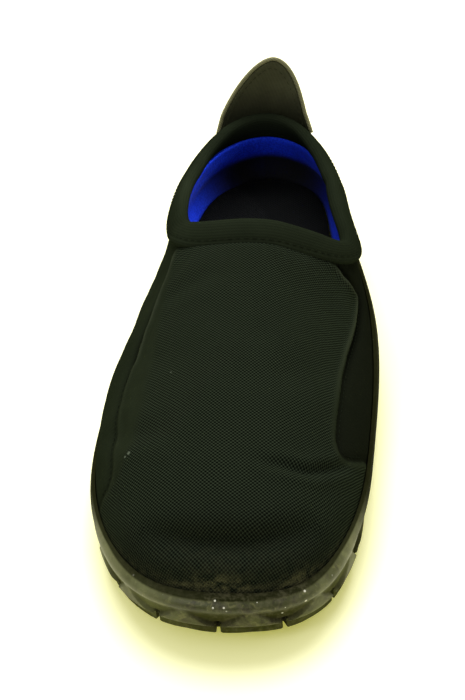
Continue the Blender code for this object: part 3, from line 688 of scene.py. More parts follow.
def rubber_material():
    """Dark olive-black moulded rubber with dust in its hollows and pale grit at the toe."""
    look = Look("sole_rubber")
    place = look.place()
    cloud = look.noise(place, 22.0, 4.0, 0.55)
    grain = look.noise(place, 0.55, 3.0, 0.6)
    scuff = look.noise(place, 5.5, 5.0, 0.65, 0.4)
    colour = look.mix(cloud, (0.0230, 0.0262, 0.0052), (0.0370, 0.0412, 0.0086))
    facet_painted_light, gloss = look.value("facet_painted_light"), look.value("gloss")
    wall = look.math("MAXIMUM", facet_painted_light, gloss)
    stain = look.noise(place, 8.0, 4.0, 0.6)
    # Painted light: raised facets are a lighter olive, as if lit, with stain mottling; more so at the toe.
    faces = look.mix(look.between(stain, 0.36, 0.64), (0.0260, 0.0230, 0.0078), (0.0600, 0.0670, 0.0165))
    colour = look.mix(look.math("MULTIPLY", facet_painted_light, 0.85), colour, faces)
    colour = look.mix(look.between(stain, 0.52, 0.72, 0.0, 0.45), colour, (0.0165, 0.0145, 0.0070))
    fleck = look.math("MULTIPLY", wall, look.between(look.noise(place, 3.4, 4.0, 0.65, 0.5), 0.50, 0.62))
    colour = look.mix(look.math("MULTIPLY", fleck, 0.52), colour, (0.140, 0.138, 0.052))
    soot = look.math("MULTIPLY", wall, look.between(look.noise(place, 4.6, 4.0, 0.65, 0.3), 0.49, 0.38))
    colour = look.mix(look.math("MULTIPLY", soot, 0.72), colour, (0.0120, 0.0090, 0.0046))
    # Hollows, notches and the lines between facets: darkened as painted shade, and filmed with pale dust.
    hollow_shade_and_dust = look.value("hollow_shade_and_dust")
    film = look.math("MULTIPLY", look.between(scuff, 0.42, 0.68), look.math("MULTIPLY_ADD", hollow_shade_and_dust, 0.55, 0.22))
    colour = look.mix(look.math("MULTIPLY", hollow_shade_and_dust, 0.80), colour, (0.0125, 0.0105, 0.0056))
    colour = look.mix(look.math("MULTIPLY", film, 0.34), colour, (0.068, 0.062, 0.026))
    # Painted reflection: paler patches on the rubber each side of the toe stand in for the bright surroundings mirrored
    # in it.
    painted_reflection = look.math("MULTIPLY", look.value("painted_reflection"), look.between(look.noise(place, 6.0, 4.0, 0.6), 0.25, 0.62, 0.45, 1.0))
    colour = look.mix(look.math("MULTIPLY", painted_reflection, 0.75), colour, look.mix(stain, (0.098, 0.098, 0.042), (0.142, 0.156, 0.066)))
    # Painted shade: the upper part of the rubber wall is darkened to hold back its highlight; at the toe only the lip.
    rim = look.value("rim")
    colour = look.mix(look.math("MULTIPLY", rim, 0.85), colour, (0.0075, 0.0082, 0.0034))
    dust = look.math("MULTIPLY", look.value("dust"), look.between(look.noise(place, 2.0, 5.0, 0.7), 0.40, 0.66))
    colour = look.mix(look.math("MULTIPLY", dust, 0.30), colour, (0.120, 0.112, 0.064))
    crumbs = look.math("MULTIPLY", look.between(look.cells(place, 3.6), 0.13, 0.07), look.between(look.noise(place, 9.0, 2.0), 0.50, 0.60))
    crumbs = look.math("MULTIPLY", crumbs, look.value("dust"))
    spots = look.near(place, [(0.9, 285.4, 25.6, 1.0), (3.9, 287.2, 24.2), (30.6, 280.6, 20.6, 1.3), (30.2, 278.6, 23.2, 1.1),
                              (18.3, 286.6, 19.9, 0.9), (24.0, 284.5, 21.6, 0.6), (14.8, 285.2, 24.8, 0.6)], 0.50)
    white = look.math("MAXIMUM", crumbs, spots)
    colour = look.mix(look.math("MULTIPLY", white, 0.9), colour, (0.62, 0.61, 0.52))
    look.set("Base Color", colour)
    rough = look.between(look.math("MULTIPLY_ADD", film, 0.9, look.math("MULTIPLY", grain, 0.5)), 0.1, 1.0, 0.32, 0.58, "LINEAR")
    rough = look.blend(gloss, 0.72, rough)
    look.set("Specular IOR Level", look.blend(gloss, 0.0, 0.26))
    look.set("Roughness", look.blend(white, rough, 0.9))
    height = look.math("ADD", look.math("MULTIPLY", grain, 0.35), look.math("MULTIPLY_ADD", white, 0.3, look.math("MULTIPLY", scuff, 0.9)))
    look.set("Normal", look.bump(height, 0.20, 0.75))
    return look.material


def insole_material():
    look = Look("insole_cloth", Roughness=0.9, Specular_IOR_Level=0.0)
    place = look.place()
    across, along = look.uv("cloth")
    weave = look.math("MULTIPLY", look.wave(across, 1.6), look.wave(along, 1.6))
    wear = look.noise(place, 24.0, 4.0, 0.6)
    colour = look.mix(wear, (0.0030, 0.0034, 0.0038), (0.0075, 0.0080, 0.0080))
    colour = look.mix(look.between(weave, 0.0, -0.8, 0.0, 0.6), colour, (0.003, 0.003, 0.0035))
    look.set("Base Color", colour)
    look.set("Normal", look.bump(look.math("MULTIPLY_ADD", look.noise(place, 0.8, 3.0), 0.5, weave), 0.22, 0.7))
    return look.material


def cord_material():
    """Braided elastic cord, pale grey-brown."""
    look = Look("elastic_cord", Sheen_Weight=0.04, Sheen_Roughness=0.35, Roughness=0.72, Specular_IOR_Level=0.2)
    place = look.place()
    one = look.node("ShaderNodeTexWave", wave_type="BANDS", bands_direction="DIAGONAL")
    look.put(place, one.inputs["Vector"])
    one.inputs["Scale"].default_value = 0.42
    one.inputs["Distortion"].default_value = 0.6
    fuzz = look.noise(place, 0.7, 3.0, 0.6)
    cloud = look.noise(place, 7.0, 3.0)
    colour = look.mix(cloud, (0.135, 0.132, 0.064), (0.205, 0.198, 0.105))
    colour = look.mix(look.between(one.outputs[1], 0.55, 0.05, 0.0, 0.5), colour, (0.070, 0.066, 0.036))
    look.set("Base Color", colour)
    look.set("Normal", look.bump(look.math("MULTIPLY_ADD", fuzz, 0.6, one.outputs[1]), 0.22, 0.7))
    return look.material


def plastic_material(name, dark, pale, rough):
    look = Look(name, Specular_IOR_Level=0.28)
    place = look.place()
    cloud = look.noise(place, 4.0, 3.0)
    grain = look.noise(place, 0.35, 2.0)
    scuff = look.between(look.noise(place, 1.6, 5.0, 0.7), 0.58, 0.72)
    colour = look.mix(cloud, dark, pale)
    look.set("Base Color", look.mix(look.math("MULTIPLY", scuff, 0.18), colour, tuple(min(1.0, x * 2.5 + 0.02) for x in pale)))
    look.set("Roughness", look.between(look.math("ADD", look.math("MULTIPLY", grain, 0.5), scuff), 0.0, 1.2, rough, rough + 0.3, "LINEAR"))
    look.set("Normal", look.bump(grain, 0.06, 0.5))
    return look.material


def thread_material(name, dark, pale):
    look = Look(name, Roughness=0.7, Specular_IOR_Level=0.0)
    place = look.place()
    twist = look.noise(place, 0.35, 2.0)
    look.set("Base Color", look.mix(twist, dark, pale))
    look.set("Normal", look.bump(twist, 0.10, 0.6))
    return look.material


# ---------------------------------------------------------------- the upper
def seam_path(points):
    """A seam's way over the upper, its band widths, and the upper's outward normals there."""
    rows = spaced([(p.round * 400.0, p.height * 100.0, p.band) for p in points], 1.0)
    u, v = np.mod(rows[:, 0] / 400.0, 1.0), np.clip(rows[:, 1] / 100.0, 0.0, 1.0)
    return rows[:, 0] / 400.0, rows[:, 1] / 100.0, rows[:, 2], wall_point(u, v)


def vamp_coordinates(outer, centred, rounds=2500):
    """Coordinates for the net, in millimetres over the cloth: the vamp laid out flat, by
    letting a grid of threads settle to the lengths that they have on the shoe."""
    order = np.argsort(centred)
    columns = order[np.abs(centred[order]) <= 0.25][::4]
    rows = np.append(np.arange(0, UPPER_ROWS, 4), UPPER_ROWS)
    patch = outer[np.ix_(rows, columns)]
    steps = np.linalg.norm(np.diff(patch[::-1], axis=0), axis=2)
    run = np.concatenate([np.zeros((1, len(columns))), np.cumsum(steps, axis=0)])[::-1]
    spoke = patch[-1][:, :2] - np.array([2.5, 95.0])
    angle = np.arctan2(spoke[:, 0], spoke[:, 1])
    reach = np.hypot(spoke[:, 0], spoke[:, 1]) + run
    laid = np.stack([reach * np.sin(angle), -reach * np.cos(angle)], -1)
    here, there, every = slice(0, -1), slice(1, None), slice(None)
    ties = [((every, here), (every, there)), ((here, every), (there, every)), ((here, here), (there, there)), ((here, there), (there, here))]
    rest = [np.linalg.norm(patch[b] - patch[a], axis=-1) for a, b in ties]
    count = np.zeros(laid.shape[:2])
    for a, b in ties:
        count[a] += 1
        count[b] += 1
    for _ in range(rounds):
        move = np.zeros_like(laid)
        for (a, b), length in zip(ties, rest):
            way = laid[b] - laid[a]
            now = np.linalg.norm(way, axis=-1)
            push = way * (0.5 * (now - length) / np.maximum(now, 1e-9))[..., None]
            move[a] += push
            move[b] -= push
        laid += 1.6 * move / count[..., None]
    fi = np.interp(np.arange(UPPER_ROWS + 1), rows, np.arange(len(rows)))
    fj = np.interp(centred, centred[columns], np.arange(len(columns)))
    i, j = np.minimum(fi.astype(int), len(rows) - 2), np.minimum(fj.astype(int), len(columns) - 2)
    ti, tj = (fi - i)[:, None, None], (fj - j)[None, :, None]
    return ((1 - ti) * (1 - tj) * laid[np.ix_(i, j)] + (1 - ti) * tj * laid[np.ix_(i, j + 1)]
            + ti * (1 - tj) * laid[np.ix_(i + 1, j)] + ti * tj * laid[np.ix_(i + 1, j + 1)])


def build_upper(outside, inside):
    u = even_columns(UPPER_COLUMNS)
    columns = len(u)
    v_out = np.linspace(0.0, 1.0, UPPER_ROWS + 1)
    v_in = np.linspace(1.0, 0.0, LINING_ROWS + 1)
    outer = np.array([wall_point(u, v) for v in v_out])
    round_ = unit(np.roll(outer, -1, 1) - np.roll(outer, 1, 1))
    up = unit(np.gradient(outer, axis=0))
    normal = unit(np.cross(round_, up))
    if np.sum(normal[40, 0] * np.array([0.0, 1.0, 0.3])) < 0:
        normal = -normal
    flat = outer.reshape(-1, 3)

    # distances over the cloth: up each column, and from the collar
    rise = np.concatenate([np.zeros((1, columns)), np.cumsum(np.linalg.norm(np.diff(outer, axis=0), axis=2), axis=0)])
    below = rise[-1][None, :] - rise
    level = UPPER_ROWS // 2
    going = np.linalg.norm(np.roll(outer[level], -1, 0) - outer[level], axis=1)
    arc = np.concatenate([[0.0], np.cumsum(going)])

    # the seams: signed distance, positive over the vamp
    centred = np.where(u > 0.5, u - 1.0, u)
    far = np.full(len(flat), 1e9)
    band = np.zeros(len(flat))
    vv = np.repeat(v_out, columns)
    uu = np.tile(centred, len(v_out))
    inside_vamp = np.ones(len(flat), bool)
    seam_rows = []
    for points, sign in ((OUTER_SEAM, 1.0), (INNER_SEAM, -1.0)):
        seam_u, seam_v, width, way = seam_path(points)
        distance, share = from_path(flat, way)
        nearer = distance < far
        far = np.where(nearer, distance, far)
        band = np.where(nearer, np.interp(share, np.linspace(0, 1, len(width)), width), band)
        order = np.argsort(seam_v)
        limit = np.interp(vv, seam_v[order], seam_u[order])
        inside_vamp &= (uu * sign < limit * sign)
        seam_rows.append(way)
    signed = np.where(inside_vamp, far, -far)
    netted = smooth((signed - band + 0.8 + 0.18 * band) / (1.6 + 0.36 * band))

    # relief of the cloth
    down = below.reshape(-1)
    lip = np.tile(LAST(u)[:, 9], len(v_out))
    free = smooth((flat[:, 2] - lip + 0.5) / 6.0) * smooth((down - 0.2) / 5.0)
    fold = np.zeros(len(flat))
    for crease in CREASES:
        way = np.array(crease.way, float)
        square = ((way[:, None, :] - flat[None, :, :]) ** 2).sum(-1)
        way = spaced(flat[square.argmin(1)], 1.5)
        distance, share = from_path(flat, way)
        taper = np.sin(np.pi * np.clip(share, 0.0, 1.0)) ** 0.7
        fold += taper * (-crease.depth * bell(distance / crease.width)
                         + crease.ridge * bell((distance - 2.1 * crease.width) / (1.1 * crease.width)))
    fold += 0.38 * ripple(flat, 34.0, 11) + 0.16 * ripple(flat, 13.0, 12)
    fold *= free
    arc_here = np.tile(arc[:-1], len(v_out))
    gather = (np.sin(arc_here * (2 * math.pi / 7.4) + 1.3 * ripple(flat, 40.0, 5)) * 0.5 + 0.5 * ripple(flat, 9.0, 6))
    gather = 0.30 * gather * bell((down - 4.5) / 4.5) - 0.45 * bell(down / 2.2) + 0.25 * bell((down - 8.0) / 5.0)
    gather *= smooth((flat[:, 2] - lip) / 6.0)
    under = -(1.2 + 1.1 * smooth((vv - 0.55) / 0.25)) * bell((signed + 0.6) / 2.8) * smooth((0.9 - signed) / 1.8)
    ridge = (0.50 + 0.35 * smooth((vv - 0.50) / 0.25)) * bell((signed - 1.8) / 1.5)
    wide = smooth((band - 4.0) / 4.0)
    puff = np.where((signed > 0) & (signed < band), 0.45 * wide * np.sin(np.pi * np.clip(signed / np.maximum(band, 1.0), 0, 1)), 0.0)
    puff += 0.30 * wide * ripple(flat * np.array([1.6, 0.7, 1.0]), 7.0, 21) * smooth(signed / 2.0) * smooth((band + 2.0 - signed) / 4.0)
    strong = 0.45 + 0.55 * smooth((vv - 0.40) / 0.25)
    seam = ((under + ridge) * strong + puff) * smooth((flat[:, 2] - lip + 1.0) / 3.0) * smooth((down + 0.5) / 3.0)
    skin = flat + normal.reshape(-1, 3) * (fold + gather + seam)[:, None]

    # the lining gives way where the outer face dips
    take = np.clip(np.round(v_in * UPPER_ROWS).astype(int), 0, UPPER_ROWS)
    dip = np.minimum(fold + gather + seam, 0.0).reshape(outer.shape[:2])
    low = dip.copy()
    for shift in range(1, 7):
        low[shift:] = np.minimum(low[shift:], dip[:-shift])
        low[:-shift] = np.minimum(low[:-shift], dip[shift:])
    dip = low.copy()
    for shift in range(1, 5):
        low = np.minimum(low, np.minimum(np.roll(dip, shift, 1), np.roll(dip, -shift, 1)))
    lined = outer[take] - normal[take] * (UPPER_WALL - low[take])[..., None]
    rings = np.concatenate([skin.reshape(outer.shape), lined])
    rows = len(rings)
    faces, cj, ck = quad_grid(rows, columns, True, True)
    ob = piece("upper_shell", rings.reshape(-1, 3), faces, [outside, inside])
    inner_side = (cj[:, 0] >= UPPER_ROWS)
    ob.data.polygons.foreach_set("material_index", inner_side.astype(np.int32))

    net = np.concatenate([vamp_coordinates(outer, centred).reshape(-1, 2), np.zeros((lined.shape[0] * columns, 2))])
    put_uv(ob, "vamp", net[faces.reshape(-1)])
    side = np.zeros((rows + 1, columns + 1, 2))
    side[:, :, 0] = arc[None, :]
    tall = np.concatenate([rise, rise[take]])
    side[:rows, :columns, 1] = tall
    side[:rows, columns, 1] = tall[:, 0]
    side[rows] = side[0]
    put_uv(ob, "side", side[cj, ck])
    atlas = np.zeros((rows + 1, columns + 1, 2))
    atlas[:, :, 0] = np.linspace(0.002, 0.998, columns + 1)[None, :]
    atlas[:UPPER_ROWS + 1, :, 1] = np.linspace(0.002, 0.70, UPPER_ROWS + 1)[:, None]
    atlas[UPPER_ROWS + 1:rows, :, 1] = np.linspace(0.71, 0.98, rows - UPPER_ROWS - 1)[:, None]
    atlas[rows, :, 1] = 0.998
    put_uv(ob, "OFBake", atlas[cj, ck])

    hidden = np.zeros(lined.shape[0] * columns)
    put_value(ob, "netted", np.concatenate([netted, hidden]))
    high = smooth((vv - 0.50) / 0.18)
    # mask of the painted shadow along the seams
    put_value(ob, "seam", np.concatenate([bell((signed + 1.5) / 1.8) * (0.30 + 0.70 * high) * smooth((down + 0.5) / 3.0), hidden]))
    # mask of the painted highlight on the net's raised edge beside the seams
    put_value(ob, "edge", np.concatenate([bell((signed - 1.4) / 1.1) * (0.20 + 0.80 * high) * smooth((down - 1.0) / 4.0), hidden]))
    put_value(ob, "band", np.concatenate([wide * smooth(signed / 2.0) * smooth((band - signed + 2.0) / 6.5), hidden]))
    # mask of the painted shade over the inner side panel
    put_value(ob, "painted_shade_inner_panel", np.concatenate([smooth((0.4 - signed) / 1.2) * (uu < 0), hidden]))
    toe = smooth((flat[:, 1] - 262.0) / 16.0) * 0.06
    edge = bell((flat[:, 2] - lip - 0.5) / 2.2) * smooth((flat[:, 1] - 235.0) / 35.0)
    patch = np.zeros(len(flat))
    for x, s, z, size in ((1.8, 281.1, 27.8, 5.5), (7.5, 281.2, 27.0, 3.5), (27.5, 276.4, 24.5, 4.5), (-9.0, 279.0, 25.5, 3.0)):
        patch += bell(np.linalg.norm((flat - np.array([x, s, z])) * np.array([0.75, 0.6, 1.5]), axis=1) / size)
    put_value(ob, "dust", np.concatenate([np.clip(toe + 0.30 * edge + patch, 0, 1), hidden]))
    # mask of the painted shade on the toe ahead of the dip
    put_value(ob, "painted_shade_toe", np.concatenate([smooth((flat[:, 1] - 252.0) / 16.0), hidden]))
    shadow = np.concatenate([np.where(inside_vamp, 0.0, 1.0)])
    heel = bell((flat[:, 1] - 6.0) / np.where(uu > 0, 22.0, 34.0)) * smooth((0.66 - vv) / 0.22)
    quarter = (smooth((0.8 - signed) / 1.6) * (1.0 - heel)).reshape(outer.shape[:2])[take].reshape(-1)
    put_value(ob, "quarter", np.concatenate([shadow, quarter]))
    # mask of the painted shade on the inner side of the lining
    inner = smooth((flat[:, 0] - 8.0) / 18.0).reshape(outer.shape[:2])[take].reshape(-1)
    put_value(ob, "painted_shade_inner_lining", np.concatenate([np.zeros(len(shadow)), inner]))
    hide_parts("upper")
    return ob, seam_rows, (flat, normal.reshape(-1, 3), skin)


def build_seam_stitches(seam_rows, upper, material):
    flat, normal, skin = upper
    rows = []
    for way, sign in zip(seam_rows, (1.0, -1.0)):
        index = []
        for start in range(0, len(way), 40):
            part = way[start:start + 40]
            index.append(((part[:, None, :] - flat[None, :, :]) ** 2).sum(-1).argmin(1))
        index = np.concatenate(index)
        out = normal[index]
        along = unit(np.gradient(way, axis=0))
        aside = unit(np.cross(out, along))
        keep = (way[:, 2] > 26.0)
        for offset in (SEWN_ASIDE,):
            line = way + aside * offset * sign
            nearest = np.concatenate([((line[a:a + 40, None, :] - skin[None, :, :]) ** 2).sum(-1).argmin(1) for a in range(0, len(line), 40)])
            line = line + normal[nearest] * (np.sum((skin[nearest] - line) * normal[nearest], axis=1))[:, None]
            rows.append((line[keep], normal[nearest][keep], 2.4))
    points, faces = stitches(rows, thread=0.36)
    return piece("seam_stitches", points, faces, [material])


# ---------------------------------------------------------------- the rubber
def rim_of(inset, count=2401):
    row, out = outline_frame(np.linspace(0.0, 1.0, count))
    return row[:, :2] - out * (inset + row[:, 10])[:, None], out


def build_outsole(material):
    u, _ = column_positions(SOLE_HALF)
    columns = len(u)
    row, out = outline_frame(u)
    s = row[:, 1]
    # place in the lug pattern: 0 at a lug's middle, half at the notches
    rim, _ = rim_of(2.6)
    rim_u = np.linspace(0.0, 1.0, len(rim))
    arc = np.concatenate([[0.0], np.cumsum(np.linalg.norm(np.diff(rim, axis=0), axis=1))])
    count = int(round(arc[-1] / LUG_PITCH))
    turn = np.interp(np.mod(u, 1.0), rim_u, arc) / (arc[-1] / count) - LUG_PHASE
    turn = np.mod(turn + 0.5, 1.0) - 0.5
    point = 1.0 - 2.0 * np.abs(turn)

    shares = np.concatenate([np.linspace(0.0, 0.94, SOLE_ROWS - 6), np.linspace(0.955, 1.0, 7)])
    rings, hollow_shade_and_dust, painted_rim_shade, shine, facets = [], [], [], [], []
    toe_share = smooth((s - 228.0) / 32.0)
    for h in shares:
        inset, tuck, cover = ring_values(h)
        ring = wall_ring(u, row, out, inset, tuck, cover, h)
        fade = max(0.0, 1.0 - h / FACET_TOP)
        inside = smooth((FACET_TOP * point - h) / 0.085 + 0.5)
        relief = (inside * FACET_PROUD - (1.0 - inside) * FACET_DEEP) * fade
        relief += 0.65 * math.sin(math.pi * min(max((h - 0.60) / 0.40, 0.0), 1.0)) ** 1.1
        notch = smooth((1.15 - (0.5 - np.abs(turn)) * LUG_PITCH) / 0.9) * smooth((0.24 - h) / 0.16)
        relief -= 1.3 * notch
        ring[:, :2] += out * relief[:, None]
        rings.append(ring)
        # a thin line along each facet's edge, darkened as painted shade with the notches and the hollows round the
        # facets
        seamed = bell((FACET_TOP * point - h) / 0.030) * smooth(fade / 0.15)
        hollow_shade_and_dust.append(np.clip((1.0 - inside) * (0.10 + 0.9 * fade) + 0.7 * notch + 0.55 * seamed, 0, 1))
        # facet mask: lighter olive painted on the raised facets as light, strongest at the toe
        facets.append(inside * smooth(fade / 0.25) * (0.45 + 0.55 * toe_share))
        # painted shade on the upper part of the wall, only the lip at the toe; the inner wall fully
        painted_rim_shade.append(toe_share * smooth((h - 0.95) / 0.04) + (1.0 - toe_share) * (0.35 + 0.65 * smooth((h - 0.45) / 0.30)))
        shine.append(np.maximum(smooth((h - 0.50) / 0.25), 0.55 * inside) * (1.0 - smooth((h - 0.94) / 0.05)) * (0.04 + 0.96 * toe_share))
    foot_z = cup_floor(s) + 0.4
    for share in (1.0, 0.85, 0.7, 0.55, 0.42, 0.3, 0.2, 0.1):
        z = foot_z + (row[:, 9] - foot_z) * share
        rings.append(np.column_stack([wall_at_height(u, z)[:, :2] + out * GAP, z]))
        hollow_shade_and_dust.append(np.full(columns, 0.3))
        painted_rim_shade.append(np.ones(columns))
    rings.append(np.column_stack([wall_at_height(u, foot_z + 0.01)[:, :2] + out * GAP, cup_floor(s)]))
    hollow_shade_and_dust.append(np.full(columns, 0.3))
    rings = np.array(rings)
    side_faces, cj, ck = quad_grid(len(rings), columns, False, True)
    faces = side_faces.tolist()

    def strips(first, flip):
        made = [[first, first + 1, first + columns - 1]]
        for k in range(1, SOLE_HALF - 1):
            made.append([first + k, first + k + 1, first + columns - k - 1, first + columns - k])
        k = SOLE_HALF - 1
        made.append([first + k, first + k + 1, first + k + 2])
        return [f[::-1] for f in made] if flip else made

    faces += strips((len(rings) - 1) * columns, False)
    faces += strips(0, True)
    points = [rings.reshape(-1, 3)]
    hollows = [np.concatenate(hollow_shade_and_dust)]
    total = len(points[0])

    # tread: lugs round the edge and slanted bars down the middle, with broken edges
    edge, edge_out = rim_of(1.9)
    edge_arc = np.concatenate([[0.0], np.cumsum(np.linalg.norm(np.diff(edge, axis=0), axis=1))])
    blocks = []
    for i in range(count):
        middle = (i + LUG_PHASE) * edge_arc[-1] / count
        marks = np.mod(middle + np.linspace(-0.5, 0.5, 9) * LUG_WIDTH * edge_arc[-1] / arc[-1], edge_arc[-1])
        face = np.column_stack([np.interp(marks, edge_arc, edge[:, c]) for c in (0, 1)])
        inward = -unit(np.array([np.interp(np.mod(middle, edge_arc[-1]), edge_arc, edge_out[:, c]) for c in (0, 1)]))
        along = face[-1] - face[0]
        root = face[4] + inward * (LUG_DEPTH - 0.4)
        shoulder = face[4] + inward * (LUG_DEPTH * 0.55)
        blocks.append(np.vstack([face, shoulder + along * 0.41, root + along * 0.28, root - along * 0.28, shoulder - along * 0.41]))
    rim26, _ = rim_of(2.6)
    at = 26.0
    while at < 262.0:
        near = np.abs(rim26[:, 1] - at) < BAR_LENGTH + BAR_LEAN
        left = rim26[near & (rim26[:, 0] < 0), 0].max() + LUG_DEPTH + 3.0
        right = rim26[near & (rim26[:, 0] > 0), 0].min() - LUG_DEPTH - 3.0
        middle = 0.5 * (left + right)
        for way, end in ((-1.0, left), (1.0, right)):
            start = middle + way * 2.5
            if abs(end - start) > 10.0:
                a = np.array([start, at + BAR_LEAN])
                b = np.array([end, at - BAR_LEAN])
                half = np.array([0.0, BAR_LENGTH / 2])
                line = [a - half + (b - a) * t for t in np.linspace(0, 1, 6)] + [b + half + (a - b) * t for t in np.linspace(0, 1, 6)]
                blocks.append(np.array(line))
        at += BAR_PITCH
    for plan in blocks:
        middle = plan.mean(0)
        inner = middle + (plan - middle) * (1.0 - 0.7 / np.linalg.norm(plan - middle, axis=1))[:, None]
        low = ground(plan[:, 1])
        ring_top = np.column_stack([plan, low + LUG_HEIGHT + 1.6])
        ring_mid = np.column_stack([plan, low + 0.7])
        ring_low = np.column_stack([inner, ground(inner[:, 1])])
        n = len(plan)
        turned = np.sum(plan[:, 0] * np.roll(plan[:, 1], -1) - np.roll(plan[:, 0], -1) * plan[:, 1]) < 0
        block_faces = []
        for a, b in ((0, n), (n, 2 * n)):
            for k in range(n):
                block_faces.append([a + k, a + (k + 1) % n, b + (k + 1) % n, b + k])
        block_faces.append([2 * n + k for k in range(n)])
        block_faces.append([k for k in range(n)][::-1])
        if not turned:
            block_faces = [f[::-1] for f in block_faces]
        faces += [[total + i for i in f] for f in block_faces]
        points.append(np.vstack([ring_top, ring_mid, ring_low]))
        hollows.append(np.concatenate([np.full(2 * n, 0.15), np.full(n, 0.1)]))
        total += 3 * n
    points = np.concatenate(points)
    ob = piece("rubber_outsole", points, faces, [material], shade_angle=32.0)
    put_value(ob, "hollow_shade_and_dust", np.concatenate(hollows))
    for name, values in (("rim", np.concatenate(painted_rim_shade)), ("gloss", np.concatenate(shine)), ("facet_painted_light", np.concatenate(facets))):
        put_value(ob, name, np.concatenate([values, np.full(len(points) - len(values), 0.5 if name == "facet_painted_light" else 0.0)]))
    toe = smooth((points[:, 1] - 258.0) / 24.0)
    patch = np.zeros(len(points))
    for x, s, z, size in ((3.5, 286.0, 24.5, 6.0), (9.0, 287.0, 20.0, 7.0), (27.0, 281.0, 23.0, 6.0), (20.0, 285.5, 18.0, 7.0)):
        patch += bell(np.linalg.norm(points - np.array([x, s, z]), axis=1) / size)
    put_value(ob, "dust", np.clip(toe * 0.25 + patch + 0.08, 0, 1))
    # patches of painted reflection on the rubber each side of the toe
    painted_reflection = np.zeros(len(points))
    for x, s, size, share in ((-38.0, 258.0, 23.0, 1.0), (-24.0, 276.5, 14.0, 0.85), (45.0, 254.0, 20.0, 1.0), (36.0, 274.0, 9.0, 0.75)):
        painted_reflection = np.maximum(painted_reflection, share * bell(np.linalg.norm(points[:, :2] - np.array([x, s]), axis=1) / size))
    put_value(ob, "painted_reflection", painted_reflection * smooth((points[:, 2] - 5.0) / 7.0))
    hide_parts("outsole")
    return ob


# ---------------------------------------------------------------- insole
def build_insole(material):
    u, _ = column_positions(150)
    half = 150
    row, out = outline_frame(u)
    foot = wall_point(u, 0.0)[:, :2] - out * (UPPER_WALL + 0.7)
    outer, inner = foot[:half + 1], np.vstack([foot[0], foot[:half:-1], foot[half]])
    across = np.linspace(0.0, 1.0, 29)
    plan = outer[1:-1, None, :] + (inner[1:-1] - outer[1:-1])[:, None, :] * across[None, :, None]
    s = plan[..., 1]
    side = np.abs(2.0 * across - 1.0)[None, :]
    heel = bell((s - 42.0) / 30.0)
    ball = bell((s - 196.0) / 36.0)
    top = cup_floor(s) + INSOLE_THICK - 0.9 * heel * (1 - side ** 2) - 0.6 * ball * (1 - side ** 2) + 0.5 * side ** 4 - 0.5 * smooth((side - 0.94) / 0.06)
    arch = 1.4 * bell((s - 118.0) / 34.0) * smooth((across[None, :] - 0.72) / 0.28) * (1 - smooth((side - 0.97) / 0.03))
    top = top + arch
    bottom = cup_floor(s) + GAP
    upper = np.concatenate([plan, top[..., None]], -1)
    lower = np.concatenate([plan, bottom[..., None]], -1)
    rows, columns = plan.shape[:2]
    faces_top, cj, ck = quad_grid(rows, columns, False, False)
    points = np.concatenate([upper.reshape(-1, 3), lower.reshape(-1, 3)])
    n = rows * columns
    faces = [list(f) for f in faces_top] + [list(f[::-1] + n) for f in faces_top]
    ring = [k for k in range(columns)] + [j * columns + columns - 1 for j in range(1, rows)] \
        + [(rows - 1) * columns + k for k in range(columns - 2, -1, -1)] + [j * columns for j in range(rows - 2, 0, -1)]
    for a, b in zip(ring, ring[1:] + ring[:1]):
        faces.append([a, b, b + n, a + n])
    ob = piece("insole_bed", points, faces, [material], shade_angle=50.0)
    flat = np.concatenate([plan.reshape(-1, 2), plan.reshape(-1, 2)])
    corner = np.concatenate([np.array(f) for f in faces])
    put_uv(ob, "cloth", flat[corner])
    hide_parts("insole")
    return ob


# ---------------------------------------------------------------- collar binding
def collar_frames(u):
    p0, p1, p2, p3 = wall_controls(u)
    up = unit(p3 - p2)
    round_ = unit(LAST(u + 1e-4)[:, 2:5] - LAST(u - 1e-4)[:, 2:5])
    outward = unit(np.cross(round_, up))
    return p3 - outward * UPPER_WALL / 2.0, up, outward, round_


def binding_frames(u):
    """Centre line of the binding, its tall and thick directions and its half height."""
    middle, up, outward, round_ = collar_frames(u)
    side = round_[:, 1:2] ** 2
    tall = up + np.array([0.0, 0.0, 0.55]) - outward * BINDING_LEAN * side
    tall = unit(tall - np.sum(tall * round_, axis=1)[:, None] * round_)
    thick = np.cross(round_, tall)
    half = 0.5 * (BINDING_TALL - BINDING_PINCH * np.exp(-((np.mod(u, 1.0) - 0.80) / 0.05) ** 2))
    lean = np.clip(np.sum(tall * up, axis=1), -1, 1)
    reach = np.sqrt((half * lean) ** 2 + (BINDING_THICK / 2) ** 2 * (1 - lean ** 2))
    across = np.sum(tall * outward, axis=1)
    spread = np.sqrt((half * across) ** 2 + (BINDING_THICK / 2) ** 2 * (1 - across ** 2))
    inwards = np.maximum(spread - BINDING_THICK / 2, 0.0) * side[:, 0]
    return middle + up * (GAP + reach)[:, None] - outward * inwards[:, None], tall, thick, half


